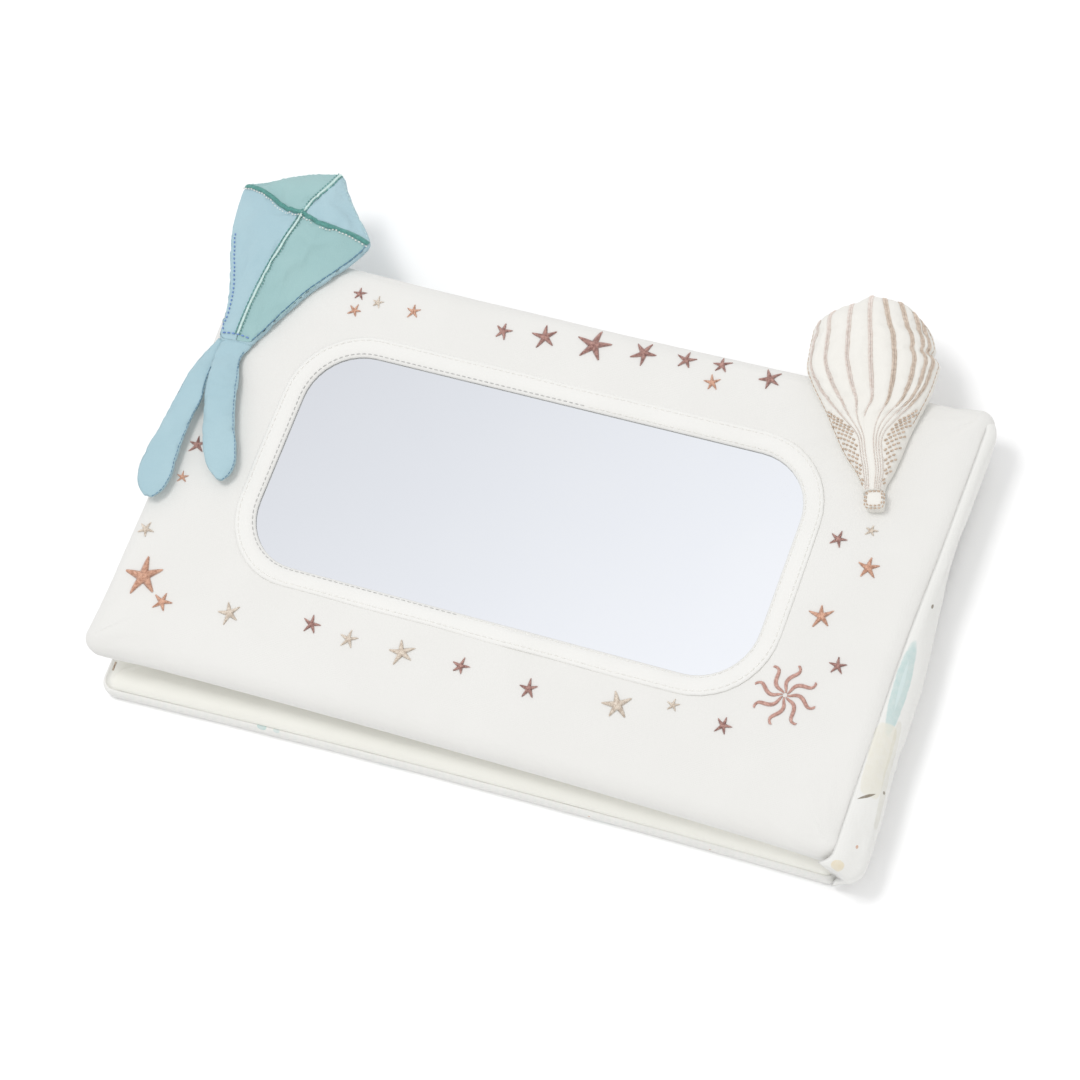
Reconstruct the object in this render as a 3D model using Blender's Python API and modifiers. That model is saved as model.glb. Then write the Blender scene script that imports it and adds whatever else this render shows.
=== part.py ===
"""Folding baby mirror: two padded fabric panels closed like a book, a mirror in the upper one, and a
stuffed kite and a stuffed hot air balloon sewn to its far corners.

Metres, +Z up. The origin is the centre of the base panel's flat underside. +X runs along the panels to
the spine, and +Y to the side that carries the toys.
"""

import math

import bmesh
import bpy
from mathutils import Matrix, Vector

# Clearances
GAP = 0.0003  # between pieces that touch
BOOK_GAP = 0.0012  # between the closed panels, at the spine

# Padded panels
PANEL_LENGTH = 0.300
PANEL_WIDTH = 0.175
PANEL_THICKNESS = 0.014
PANEL_CORNER_RADIUS = 0.0075
PANEL_EDGE_ROLL = 0.006  # how far the rolled edge reaches in
PANEL_DRAW_IN = 0.0016  # how far a side is drawn in at its middle
PANEL_SWELL = 0.0011  # rise of a padded face over its edge
COVER_WALL = 0.001
BASE_LENGTH = 0.295
BASE_SEAM_HEIGHT = 0.0065  # perimeter seam over the table
BASE_FLARE = 0.0016  # how far the printed cover stands out below that seam
BOARD_THICKNESS = 0.0015
BASE_BOARD_INSET = 0.014

# Window and mirror, measured from the panel's edges to the visible edge of the mirror
WINDOW_LEFT = 0.0474
WINDOW_RIGHT = 0.0527
WINDOW_FAR = 0.0365
WINDOW_NEAR = 0.0502
WINDOW_CORNER_RADIUS = 0.022
WINDOW_TURN_IN = 0.0022  # the binding's lip inside the cover's opening
MIRROR_THICKNESS = 0.002
MIRROR_HIDDEN_RIM = 0.005
MIRROR_BOARD_RIM = 0.008
BINDING_WIDTH = 0.008
BINDING_RISE = 0.0015
BINDING_ROUND = 0.0009

# Spine and the two folds
SPINE_THICKNESS = 0.004
SPINE_COVER_WALL = 0.0008
SPINE_LINING_WALL = 0.0006
SPINE_BOW = 0.0026
SPINE_BOW_CHANGE = 0.0024  # more at the near end, less at the far end
SPINE_END_INSET = 0.0012
SPINE_PAD_MARGIN = 0.003
LOWER_FOLD_HEIGHT = 0.003
UPPER_FOLD_RISE = 0.005  # over the mirror panel's seam
MIRROR_OVERHANG = 0.0033  # of the upper panel's edge past the lower fold
MIRROR_SHIFT = 0.0023  # the upper panel lies this far towards +Y on the base
MIRROR_YAW = math.radians(-1.0)
MIRROR_TILT = math.radians(1.34)

# Embroidery
STITCH_RISE = 0.0008
STAR_RADIUS = 0.004
STAR_INNER_SHARE = 0.42
SUN_RADIUS = 0.0118
SUN_HUB_RADIUS = 0.0024
SUN_RAY_WIDTH = 0.0017
SUN_RAY_SWAY = math.radians(13)
SUN_RAYS = 8

# Toys
TOY_WALL = 0.001
TOY_EDGE = 0.004  # height of a toy's side wall
KITE_FROM_LEFT = 0.0145
KITE_FROM_FAR = 0.0445
KITE_LENGTH = 0.077
KITE_WIDTH = 0.058
KITE_WAIST = 0.013
KITE_CROWN = 0.0062
KITE_CORNER_RADIUS = 0.004
KITE_LEAN = math.radians(-9.7)
KITE_GROOVE_REACH = 0.004
KITE_CORD_RADIUS = 0.0008
KITE_CORD_LIFT = 0.0003
TAIL_LEFT_LENGTH = 0.070
TAIL_RIGHT_LENGTH = 0.0565
TAIL_WIDTH = 0.0128
TAIL_THICKNESS = 0.0052
TAIL_RISE = 0.003
BALLOON_FROM_RIGHT = 0.027
BALLOON_FROM_FAR = 0.0503
BALLOON_LENGTH = 0.0855
BALLOON_WIDTH = 0.0475
BALLOON_CROWN = 0.0095
BALLOON_LEAN = math.radians(15)
BALLOON_BEND = 0.0045
BALLOON_LOBE = 0.0008
BALLOON_RIB_RADIUS = 0.0006
BALLOON_RIBS = 7
NET_WALL = 0.0006
BASKET_LENGTH = 0.008
BASKET_WIDTH = 0.0084
BASKET_RISE = 0.0022  # over the toy's seam
BASKET_BEVEL = 0.001

# How finely the surfaces are divided
CORNER_STEPS = 5
LONG_STEPS = 6
SHORT_STEPS = 4
ROLL_STEPS = 3
SPINE_STEPS = 8
TAIL_SIDES = 10

# Shares of the sizes above, chosen by hand
SEAM_SHARE = 0.15  # of the height from a panel's seam to its face, left upright
BASE_FOOT_SHARES = ((1.0, 1.0), (1.0, 0.88), (0.1, 0.5), (0.1, 0.2), (0.55, 0.05), (1.5, 0.0))
SPINE_REACH_SHARES = (0.1, 0.72)  # of the spine's height, between which it leans out to the upper panel
KITE_CROSS_SHARE = 0.727  # of the length, where the cross lies
KITE_SHIFT_SHARE = -0.035  # of the width, sideways at the cross
KITE_GROOVE_SHARE = 0.2
KITE_RING_SHARES = (1.0, 0.93, 0.8, 0.55, 0.28, 0.06)
KITE_FILLING_SHARE = 0.88  # of the way from the cross to the outline
PUFF_SHARE = 0.6  # power of the crown's fall to the edge
TAIL_LIFT_SHARE = 0.35  # of a tail's length, over which it rises
TAIL_SLIM_SHARE = 0.35  # of a tail's thickness, left where it has no width
SLOPE_STEP_SHARE = 0.01  # how far apart a slope is read on a surface

# Tails: along the length, then centre and width as shares of the tail's width
TAIL_LEFT_SHARES = (
    (0.010, -0.555, 0.23),
    (0.110, -0.670, 0.41),
    (0.230, -0.690, 0.60),
    (0.360, -0.665, 0.76),
    (0.540, -0.710, 0.84),
    (0.740, -0.740, 0.98),
    (0.870, -0.705, 1.00),
    (0.955, -0.660, 0.66),
    (0.995, -0.630, 0.22),
)
TAIL_RIGHT_SHARES = (
    (0.010, 0.055, 0.86),
    (0.100, -0.030, 0.74),
    (0.260, 0.113, 0.93),
    (0.460, 0.350, 1.02),
    (0.620, 0.610, 1.06),
    (0.750, 0.860, 1.08),
    (0.870, 1.090, 0.96),
    (0.955, 1.240, 0.56),
    (0.995, 1.290, 0.18),
)
# Balloon: along the length, half width, and the striped envelope's share of that half width
BALLOON_SHARES = (
    (0.110, 0.19, 0.30),
    (0.170, 0.27, 0.30),
    (0.240, 0.41, 0.30),
    (0.300, 0.50, 0.33),
    (0.360, 0.59, 0.44),
    (0.430, 0.69, 0.64),
    (0.500, 0.80, 0.84),
    (0.580, 0.93, 0.92),
    (0.670, 1.00, 0.93),
    (0.770, 0.95, 0.93),
    (0.870, 0.82, 0.93),
    (0.940, 0.60, 0.93),
    (0.980, 0.34, 0.93),
    (1.000, 0.12, 0.93),
)

BALLOON_CENTRE_SHARE = 0.55  # of the length, about which the back and the stuffing narrow
BALLOON_FOOT_SHARE = 0.94
BALLOON_FILLING_SHARES = (0.85, 0.7, 0.45, 0.2)
RIB_REACH_SHARE = 0.87  # of the envelope's half width, where the outermost ribs lie
RIB_SHARES = (0.40, 0.97)  # of the length, between which a rib runs
MIDDLE_RIB_SHARES = (0.12, 0.97)
NET_SHARES = (0.12, 0.46)
NET_ACROSS_SHARES = (0.18, 0.5)  # of the cloth beside the envelope

# Stars: side of the window, along share, across share from binding to panel edge, size share of
# STAR_RADIUS, turn in degrees, thread
STAR_SHARES = (
    ("far", -0.487, 0.48, 0.75, 10, "copper"),
    ("far", -0.240, 0.50, 0.95, 0, "rose"),
    ("far", -0.130, 0.56, 1.25, 20, "rose"),
    ("far", 0.000, 0.60, 1.60, 0, "rose"),
    ("far", 0.130, 0.66, 1.25, -20, "rose"),
    ("far", 0.240, 0.70, 0.95, 0, "rose"),
    ("far", 0.331, 0.75, 0.85, 15, "rose"),
    ("far", 0.459, 0.71, 1.10, 30, "rose"),
    ("left", -0.006, 0.62, 0.95, 12, "rose"),
    ("left", -0.434, 0.78, 0.85, -20, "sand"),
    ("left", -0.640, 0.60, 2.10, 14, "copper"),
    ("left", -0.727, 0.32, 1.05, -8, "copper"),
    ("near", -0.640, 0.37, 1.15, 25, "sand"),
    ("near", -0.425, 0.27, 0.90, 0, "rose"),
    ("near", -0.319, 0.31, 0.90, 8, "sand"),
    ("near", -0.177, 0.30, 1.30, 22, "sand"),
    ("near", -0.022, 0.28, 0.90, -5, "rose"),
    ("near", 0.161, 0.31, 0.95, 10, "rose"),
    ("near", 0.382, 0.24, 1.45, 18, "sand"),
    ("near", 0.644, 0.17, 0.85, -12, "rose"),
    ("right", -0.234, 0.52, 0.85, 6, "rose"),
    ("right", -0.048, 0.26, 1.15, 15, "copper"),
    ("right", 0.201, 0.49, 1.10, 4, "copper"),
    ("right", 0.290, 0.18, 0.85, -10, "rose"),
)
SUN_SHARES = (0.196, -0.409)  # across the right margin, and along the panel's half width


def rolled_inset(height, face_height):
    """How far a panel's edge has rolled in at a height over its seam: upright, then a quarter ellipse."""
    upright = face_height * SEAM_SHARE
    share = max(0.0, min(1.0, (height - upright) / (face_height - upright)))
    return PANEL_EDGE_ROLL * (1 - math.sqrt(1 - share**2))


# Heights and places worked out from the sizes
HALF_THICKNESS = PANEL_THICKNESS / 2
UPPER_FOLD_INSET = rolled_inset(UPPER_FOLD_RISE, HALF_THICKNESS) - GAP
MIRROR_TOP = HALF_THICKNESS - COVER_WALL - GAP
MIRROR_BOARD_TOP = MIRROR_TOP - MIRROR_THICKNESS - GAP
LOWER_FOLD = Vector((BASE_LENGTH / 2 + GAP, 0, LOWER_FOLD_HEIGHT))
UPPER_FOLD = Vector(
    (
        LOWER_FOLD.x + MIRROR_OVERHANG - UPPER_FOLD_INSET,
        MIRROR_SHIFT,
        PANEL_THICKNESS + BOOK_GAP + HALF_THICKNESS + UPPER_FOLD_RISE,
    )
)
UPPER_FOLD_IN_PANEL = Vector((PANEL_LENGTH / 2 - UPPER_FOLD_INSET, 0, UPPER_FOLD_RISE))
TOY_SEAM_HEIGHT = HALF_THICKNESS + GAP + TOY_EDGE
KITE_WAIST_PLACE = Vector(
    (KITE_FROM_LEFT - PANEL_LENGTH / 2, PANEL_WIDTH / 2 - KITE_FROM_FAR, TOY_SEAM_HEIGHT)
)
BALLOON_PLACE = Vector(
    (
        PANEL_LENGTH / 2 - BALLOON_FROM_RIGHT,
        PANEL_WIDTH / 2 - BALLOON_FROM_FAR,
        TOY_SEAM_HEIGHT,
    )
)


def clear_scene():
    for old in list(bpy.data.objects):
        bpy.data.objects.remove(old, do_unlink=True)


def new_collection(name):
    collection = bpy.data.collections.new(name)
    bpy.context.scene.collection.children.link(collection)
    return collection


def finish(name, colour, roughness, metallic=0.0):
    """A Principled material of one colour."""
    material = bpy.data.materials.new(name)
    material.use_nodes = True
    shader = material.node_tree.nodes["Principled BSDF"]
    shader.inputs["Base Color"].default_value = (*colour, 1)
    shader.inputs["Roughness"].default_value = roughness
    shader.inputs["Metallic"].default_value = metallic
    return material


def empty_at(name, matrix, parent=None):
    """An empty that stands for a fold or a sewn seam, with the pieces that turn about it below it."""
    empty = bpy.data.objects.new(name, None)
    PARTS.objects.link(empty)
    empty.parent = parent
    empty.matrix_local = matrix
    return empty


def add_object(name, mesh, material, parent=None, location=(0, 0, 0)):
    for polygon in mesh.polygons:
        polygon.use_smooth = True
    mesh.set_sharp_from_angle(angle=math.radians(40))
    mesh.materials.append(material)
    body = bpy.data.objects.new(name, mesh)
    PARTS.objects.link(body)
    body.parent = parent
    body.location = location
    return body


def surface(name, loops, closed=True, cap_first=False, cap_last=False):
    """A mesh of quads between neighbouring loops of points, with a flat cap on an end that asks for one."""
    shape = bmesh.new()
    rows = [[shape.verts.new(point) for point in loop] for loop in loops]
    count = len(rows[0])
    spans = count if closed else count - 1
    for low, high in zip(rows, rows[1:]):
        for i in range(spans):
            j = (i + 1) % count
            shape.faces.new((low[i], low[j], high[j], high[i]))
    if cap_first:
        shape.faces.new(reversed(rows[0]))
    if cap_last:
        shape.faces.new(rows[-1])
    mesh = bpy.data.meshes.new(name)
    shape.to_mesh(mesh)
    shape.free()
    return mesh


def thicken(body, wall, side=-1.0):
    """Gives an open surface a wall on its inner side, or on its outer side where side is 1."""
    solidify = body.modifiers.new("wall", "SOLIDIFY")
    solidify.thickness = wall
    solidify.offset = side
    solidify.use_even_offset = True
    return body


def rounded_polygon(corners, radii, arc_steps, side_steps):
    """Counter-clockwise points: an arc at each corner, then the side that follows it, divided evenly."""
    arcs = []
    count = len(corners)
    for i, corner in enumerate(corners):
        back = (corners[i - 1] - corner).normalized()
        ahead = (corners[(i + 1) % count] - corner).normalized()
        half_angle = back.angle(ahead) / 2
        centre = corner + (back + ahead).normalized() * (radii[i] / math.sin(half_angle))
        start = corner + back * (radii[i] / math.tan(half_angle)) - centre
        turn = math.pi - 2 * half_angle
        arc = []
        for step in range(arc_steps + 1):
            spin = Matrix.Rotation(turn * step / arc_steps, 2)
            arc.append(centre + spin @ start)
        arcs.append(arc)
    points = []
    for i, arc in enumerate(arcs):
        points += arc
        following = arcs[(i + 1) % count][0]
        steps = side_steps[i]
        points += [arc[-1].lerp(following, step / steps) for step in range(1, steps)]
    return points


def rounded_rectangle(low, high, radius):
    corners = [
        Vector((high[0], low[1])),
        Vector((high[0], high[1])),
        Vector((low[0], high[1])),
        Vector((low[0], low[1])),
    ]
    steps = (SHORT_STEPS, LONG_STEPS, SHORT_STEPS, LONG_STEPS)
    return rounded_polygon(corners, [radius] * len(corners), CORNER_STEPS, steps)


def at_height(points, height):
    return [Vector((point.x, point.y, height)) for point in points]


def drawn_in(point, length, width):
    """Pulls the free sides of a panel in between its corners, most at their middles. The spine's side
    stays straight."""
    along, across = 2 * point.x / length, 2 * point.y / width
    x = point.x + PANEL_DRAW_IN * max(0.0, -along) ** 4 * (1 - across**2)
    y = point.y - PANEL_DRAW_IN * math.copysign(across**4, across) * (1 - along**2)
    return Vector((x, y))


def panel_loop(length, width, inset, height):
    """A panel's rounded outline, moved in from its edges, at a height."""
    half_x, half_y = length / 2 - inset, width / 2 - inset
    radius = max(PANEL_CORNER_RADIUS - inset, GAP)
    outline = rounded_rectangle((-half_x, -half_y), (half_x, half_y), radius)
    return at_height([drawn_in(point, length, width) for point in outline], height)


def edge_loops(length, width, seam_height, face_height, inward=0.0):
    """Loops from a panel's upright seam round its rolled edge to its face, a quarter of an ellipse."""
    loops = []
    upright = (face_height - seam_height) * SEAM_SHARE
    for step in range(-1, ROLL_STEPS + 1):
        turn = math.radians(90) * max(0, step) / ROLL_STEPS
        inset = inward + PANEL_EDGE_ROLL * (1 - math.cos(turn))
        height = seam_height
        if step >= 0:
            height += upright + (face_height - seam_height - upright) * math.sin(turn)
        loops.append(panel_loop(length, width, inset, height))
    return loops


def foot_loops(inward=0.0):
    """Loops from the base panel's seam down its printed side, which flares, to its flat underside."""
    loops = []
    for inset_share, height_share in BASE_FOOT_SHARES:
        height = max(inward, (BASE_SEAM_HEIGHT - GAP / 2) * height_share)
        inset = inward + BASE_FLARE * inset_share
        loops.append(panel_loop(BASE_LENGTH, PANEL_WIDTH, inset, height))
    return loops


def face_loops(edge, length, width, height, swell, shares=(0.6, 0.2)):
    """Loops inside the last edge loop, shrunk to each share of it, over a face that swells in its middle."""
    loops = []
    for share in shares:
        loop = []
        for point in edge:
            x, y = point.x * share, point.y * share
            rise = swell * (1 - (2 * x / length) ** 2) * (1 - (2 * y / width) ** 2)
            loop.append(Vector((x, y, height + rise)))
        loops.append(loop)
    return loops


def window_loop(outward, height):
    """The mirror's visible outline, moved outwards all round."""
    low = (
        WINDOW_LEFT - PANEL_LENGTH / 2 - outward,
        WINDOW_NEAR - PANEL_WIDTH / 2 - outward,
    )
    high = (
        PANEL_LENGTH / 2 - WINDOW_RIGHT + outward,
        PANEL_WIDTH / 2 - WINDOW_FAR + outward,
    )
    return at_height(rounded_rectangle(low, high, WINDOW_CORNER_RADIUS + outward), height)


def slab(name, low_loop, high_loop, material, parent=None, location=(0, 0, 0)):
    mesh = surface(name, [low_loop, high_loop], cap_first=True, cap_last=True)
    return add_object(name, mesh, material, parent, location)


def build_base():
    """The panel that lies on the table: printed outer cover, plain inner cover, foam and board."""
    outer = surface("base_cover_outer", foot_loops()[::-1], cap_first=True)
    thicken(add_object("base_cover_outer", outer, PRINT), COVER_WALL)

    top = edge_loops(BASE_LENGTH, PANEL_WIDTH, BASE_SEAM_HEIGHT + GAP / 2, PANEL_THICKNESS, BASE_FLARE)
    top += face_loops(top[-1], BASE_LENGTH, PANEL_WIDTH, PANEL_THICKNESS, PANEL_SWELL)
    inner = surface("base_cover_inner", top, cap_last=True)
    thicken(add_object("base_cover_inner", inner, LINEN), COVER_WALL)

    board_low = COVER_WALL + GAP
    board_high = board_low + BOARD_THICKNESS
    half_x = BASE_LENGTH / 2 - BASE_BOARD_INSET
    half_y = PANEL_WIDTH / 2 - BASE_BOARD_INSET
    board = rounded_rectangle((-half_x, -half_y), (half_x, half_y), PANEL_CORNER_RADIUS)
    slab("base_board", at_height(board, board_low), at_height(board, board_high), BOARD)

    inward = COVER_WALL + 2 * GAP
    side = inward + BASE_FLARE
    high = PANEL_THICKNESS - inward
    under = panel_loop(BASE_LENGTH, PANEL_WIDTH, side, board_high + GAP)
    over = edge_loops(BASE_LENGTH, PANEL_WIDTH, BASE_SEAM_HEIGHT, high, side)
    over += face_loops(over[-1], BASE_LENGTH, PANEL_WIDTH, high, PANEL_SWELL)
    foam = surface("base_foam", [under] + over, cap_first=True, cap_last=True)
    add_object("base_foam", foam, FOAM)


def spine_line(across, share):
    """A point of the spine's inner face: across is its place along Y, and share runs from the lower fold
    to the upper one. It leans out to the upper panel's edge as a smoothstep, bows out on its way, and
    then follows that panel's rolled edge."""
    low_z, high_z = LOWER_FOLD.z + GAP, UPPER_FOLD.z - GAP
    height = low_z + (high_z - low_z) * share
    start, end = SPINE_REACH_SHARES
    reach = max(0.0, min(1.0, (share - start) / (end - start)))
    skew = (across - UPPER_FOLD.y) * math.tan(MIRROR_YAW)
    x = LOWER_FOLD.x + (MIRROR_OVERHANG + GAP - skew) * reach**2 * (3 - 2 * reach)
    x += (SPINE_BOW - SPINE_BOW_CHANGE * 2 * across / PANEL_WIDTH) * math.sin(math.pi * share) ** 2
    seam = UPPER_FOLD.z - UPPER_FOLD_RISE
    return Vector((x - rolled_inset(height - seam, HALF_THICKNESS), across, height))


def spine_swell(share):
    """The spine's full thickness: only the two cloths at the folds, and the pad as well between them."""
    thin = SPINE_LINING_WALL + GAP + SPINE_COVER_WALL
    return thin + (SPINE_THICKNESS - thin) * math.sin(math.pi * share)


def spine_layer(name, near, far, margin, material):
    """One layer of the spine as a loft of its sections, between two depths that depend on the height."""
    half = PANEL_WIDTH / 2 - SPINE_END_INSET - margin
    first = margin / (UPPER_FOLD.z - LOWER_FOLD.z)
    step = SLOPE_STEP_SHARE
    loops = []
    for i in range(SHORT_STEPS + 1):
        across = half * (2 * i / SHORT_STEPS - 1)
        inner, outer = [], []
        for row in range(SPINE_STEPS + 1):
            share = first + (1 - 2 * first) * row / SPINE_STEPS
            run = spine_line(across, share + step) - spine_line(across, share - step)
            out = Vector((run.z, 0, -run.x)).normalized()
            start = spine_line(across, share)
            inner.append(start + out * near(share))
            outer.append(start + out * far(share))
        loops.append(inner + outer[::-1])
    mesh = surface(name, loops, cap_first=True, cap_last=True)
    return add_object(name, mesh, material, SPINE, -LOWER_FOLD)


def build_spine():
    """The strip between the panels, which turns about the lower fold."""
    lining = SPINE_LINING_WALL
    spine_layer("spine_lining", lambda share: 0.0, lambda share: lining, 0.0, LINEN)
    spine_layer(
        "spine_pad",
        lambda share: lining + GAP,
        lambda share: spine_swell(share) - SPINE_COVER_WALL - GAP,
        SPINE_PAD_MARGIN,
        FOAM,
    )
    spine_layer(
        "spine_cover", lambda share: spine_swell(share) - SPINE_COVER_WALL, spine_swell, 0.0, PRINT
    )


def in_panel(name, mesh, material):
    """Puts a piece that is drawn in the mirror panel's own frame below the upper fold."""
    return add_object(name, mesh, material, MIRROR_PANEL, -UPPER_FOLD_IN_PANEL)


def build_mirror_panel():
    """The upper cover: plain cloth with a window, foam, board, mirror and the sewn binding."""
    front = edge_loops(PANEL_LENGTH, PANEL_WIDTH, GAP / 2, HALF_THICKNESS)
    front.append(window_loop(WINDOW_TURN_IN, HALF_THICKNESS))
    thicken(in_panel("mirror_cover_front", surface("mirror_cover_front", front), LINEN), COVER_WALL)

    back = edge_loops(PANEL_LENGTH, PANEL_WIDTH, -GAP / 2, -HALF_THICKNESS)
    back += face_loops(back[-1], PANEL_LENGTH, PANEL_WIDTH, -HALF_THICKNESS, -PANEL_SWELL)
    lower = surface("mirror_cover_back", back[::-1], cap_first=True)
    thicken(in_panel("mirror_cover_back", lower, LINEN), COVER_WALL)

    inward = COVER_WALL + 2 * GAP
    recess = MIRROR_BOARD_TOP - BOARD_THICKNESS - GAP
    under = edge_loops(PANEL_LENGTH, PANEL_WIDTH, 0.0, inward - HALF_THICKNESS, inward)
    over = edge_loops(PANEL_LENGTH, PANEL_WIDTH, 0.0, HALF_THICKNESS - inward, inward)
    over.append(window_loop(MIRROR_BOARD_RIM + GAP, HALF_THICKNESS - inward))
    over.append(window_loop(MIRROR_BOARD_RIM + GAP, recess))
    foam = surface("mirror_foam", under[:0:-1] + over, cap_first=True, cap_last=True)
    in_panel("mirror_foam", foam, FOAM)

    board = [window_loop(MIRROR_BOARD_RIM, recess + GAP), window_loop(MIRROR_BOARD_RIM, MIRROR_BOARD_TOP)]
    in_panel("mirror_board", surface("mirror_board", board, cap_first=True, cap_last=True), BOARD)
    sheet = [
        window_loop(MIRROR_HIDDEN_RIM, MIRROR_TOP - MIRROR_THICKNESS),
        window_loop(MIRROR_HIDDEN_RIM, MIRROR_TOP),
    ]
    in_panel("mirror_sheet", surface("mirror_sheet", sheet, cap_first=True, cap_last=True), MIRROR)

    seat = HALF_THICKNESS + GAP
    crest = HALF_THICKNESS + BINDING_RISE + GAP
    lip = WINDOW_TURN_IN - GAP
    profile = (
        (lip, MIRROR_TOP + GAP),
        (lip, seat),
        (BINDING_WIDTH, seat),
        (BINDING_WIDTH, crest - BINDING_ROUND),
        (BINDING_WIDTH - BINDING_ROUND, crest),
        (BINDING_ROUND, crest),
        (0.0, crest - BINDING_ROUND),
        (0.0, MIRROR_TOP + GAP),
    )
    ring = [window_loop(outward, height) for outward, height in profile]
    ring.append(ring[0])
    mesh = surface("mirror_binding", ring)
    weld = bmesh.new()
    weld.from_mesh(mesh)
    bmesh.ops.remove_doubles(weld, verts=weld.verts, dist=GAP / 10)
    weld.to_mesh(mesh)
    weld.free()
    in_panel("mirror_binding", mesh, LINEN)


def star_place(side, along, across):
    """A star's place beside the window: along the side, and across the margin from binding to edge."""
    half_x, half_y = PANEL_LENGTH / 2, PANEL_WIDTH / 2
    if side in ("far", "near"):
        sign = 1 if side == "far" else -1
        margin = (WINDOW_FAR if side == "far" else WINDOW_NEAR) - BINDING_WIDTH
        return Vector((along * half_x, sign * (half_y - margin * (1 - across))))
    sign = 1 if side == "right" else -1
    margin = (WINDOW_RIGHT if side == "right" else WINDOW_LEFT) - BINDING_WIDTH
    return Vector((sign * (half_x - margin * (1 - across)), along * half_y))


def build_stars():
    """Satin-stitched five-pointed stars: a low rim that rises to a peak at the middle."""
    base_height = HALF_THICKNESS + GAP
    for number, (side, along, across, size, turn, thread) in enumerate(STAR_SHARES, start=1):
        centre = star_place(side, along, across)
        radius = STAR_RADIUS * size
        outline = []
        for point in range(10):
            angle = math.radians(turn + 90 + 36 * point)
            reach = radius * (STAR_INNER_SHARE if point % 2 else 1.0)
            outline.append(centre + Vector((math.cos(angle), math.sin(angle))) * reach)
        name = f"star_{number:02d}"
        shape = bmesh.new()
        low = [shape.verts.new(point) for point in at_height(outline, base_height)]
        rim = [shape.verts.new(point) for point in at_height(outline, base_height + STITCH_RISE / 2)]
        peak = shape.verts.new((centre.x, centre.y, base_height + STITCH_RISE))
        for i in range(len(low)):
            j = (i + 1) % len(low)
            shape.faces.new((low[i], low[j], rim[j], rim[i]))
            shape.faces.new((rim[i], rim[j], peak))
        shape.faces.new(reversed(low))
        mesh = bpy.data.meshes.new(name)
        shape.to_mesh(mesh)
        shape.free()
        in_panel(name, mesh, THREADS[thread])


def flat_outline(name, points, thickness, material, parent, location):
    """A flat 2D curve, filled and extruded."""
    curve = bpy.data.curves.new(name, "CURVE")
    curve.dimensions = "2D"
    curve.fill_mode = "BOTH"
    curve.extrude = thickness / 2
    spline = curve.splines.new("POLY")
    spline.points.add(len(points) - 1)
    for spot, point in zip(spline.points, points):
        spot.co = (point.x, point.y, 0, 1)
    spline.use_cyclic_u = True
    curve.materials.append(material)
    body = bpy.data.objects.new(name, curve)
    PARTS.objects.link(body)
    body.parent = parent
    body.location = location
    return body


def build_sun():
    """A sun of curved rays: each ray sways as a sine along its length and thins to its tip."""
    margin = WINDOW_RIGHT - BINDING_WIDTH
    centre = Vector(
        (
            PANEL_LENGTH / 2 - margin * (1 - SUN_SHARES[0]),
            PANEL_WIDTH / 2 * SUN_SHARES[1],
        )
    )
    steps = 6
    points = []
    for ray in range(SUN_RAYS):
        heading = math.radians(360) * ray / SUN_RAYS
        sides = ([], [])
        for step in range(steps + 1):
            share = step / steps
            reach = SUN_HUB_RADIUS + (SUN_RADIUS - SUN_HUB_RADIUS) * share
            sway = SUN_RAY_SWAY * math.sin(math.radians(330) * share)
            half = SUN_RAY_WIDTH / 2 * (1 - 0.7 * share**2)
            middle = Vector((reach * math.cos(heading + sway), reach * math.sin(heading + sway)))
            side = Vector((-math.sin(heading + sway), math.cos(heading + sway))) * half
            sides[0].append(middle - side)
            sides[1].append(middle + side)
        points += sides[0] + sides[1][::-1]
    location = Vector((*centre, HALF_THICKNESS + GAP + STITCH_RISE / 2)) - UPPER_FOLD_IN_PANEL
    flat_outline("sun", points, STITCH_RISE, THREADS["rose"], MIRROR_PANEL, location)


def kite_corners():
    """Waist right, right, tip, left and waist left corners, leaning about the waist, and the cross."""
    lean = Matrix.Rotation(KITE_LEAN, 2)
    shift = KITE_WIDTH * KITE_SHIFT_SHARE
    level = KITE_LENGTH * KITE_CROSS_SHARE
    half = KITE_WIDTH / 2
    corners = [
        Vector((KITE_WAIST / 2, 0)),
        lean @ Vector((half + shift, level)),
        lean @ Vector((0, KITE_LENGTH)),
        lean @ Vector((shift - half, level)),
        Vector((-KITE_WAIST / 2, 0)),
    ]
    return corners, lean @ Vector((shift, level))


def distance_to_segment(point, start, end):
    run = end - start
    share = max(0.0, min(1.0, (point - start).dot(run) / run.length_squared))
    return (point - start - run * share).length


def kite_height(point, ring, cross, cord_ends):
    """The kite's face over its seam: a crown that falls to the edge, pressed down along the cords."""
    nearest = min(distance_to_segment(point, cross, end) for end in cord_ends)
    groove = 1 - KITE_GROOVE_SHARE * math.exp(-((nearest / KITE_GROOVE_REACH) ** 2))
    return KITE_CROWN * (1 - ring**2) ** PUFF_SHARE * groove


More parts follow.
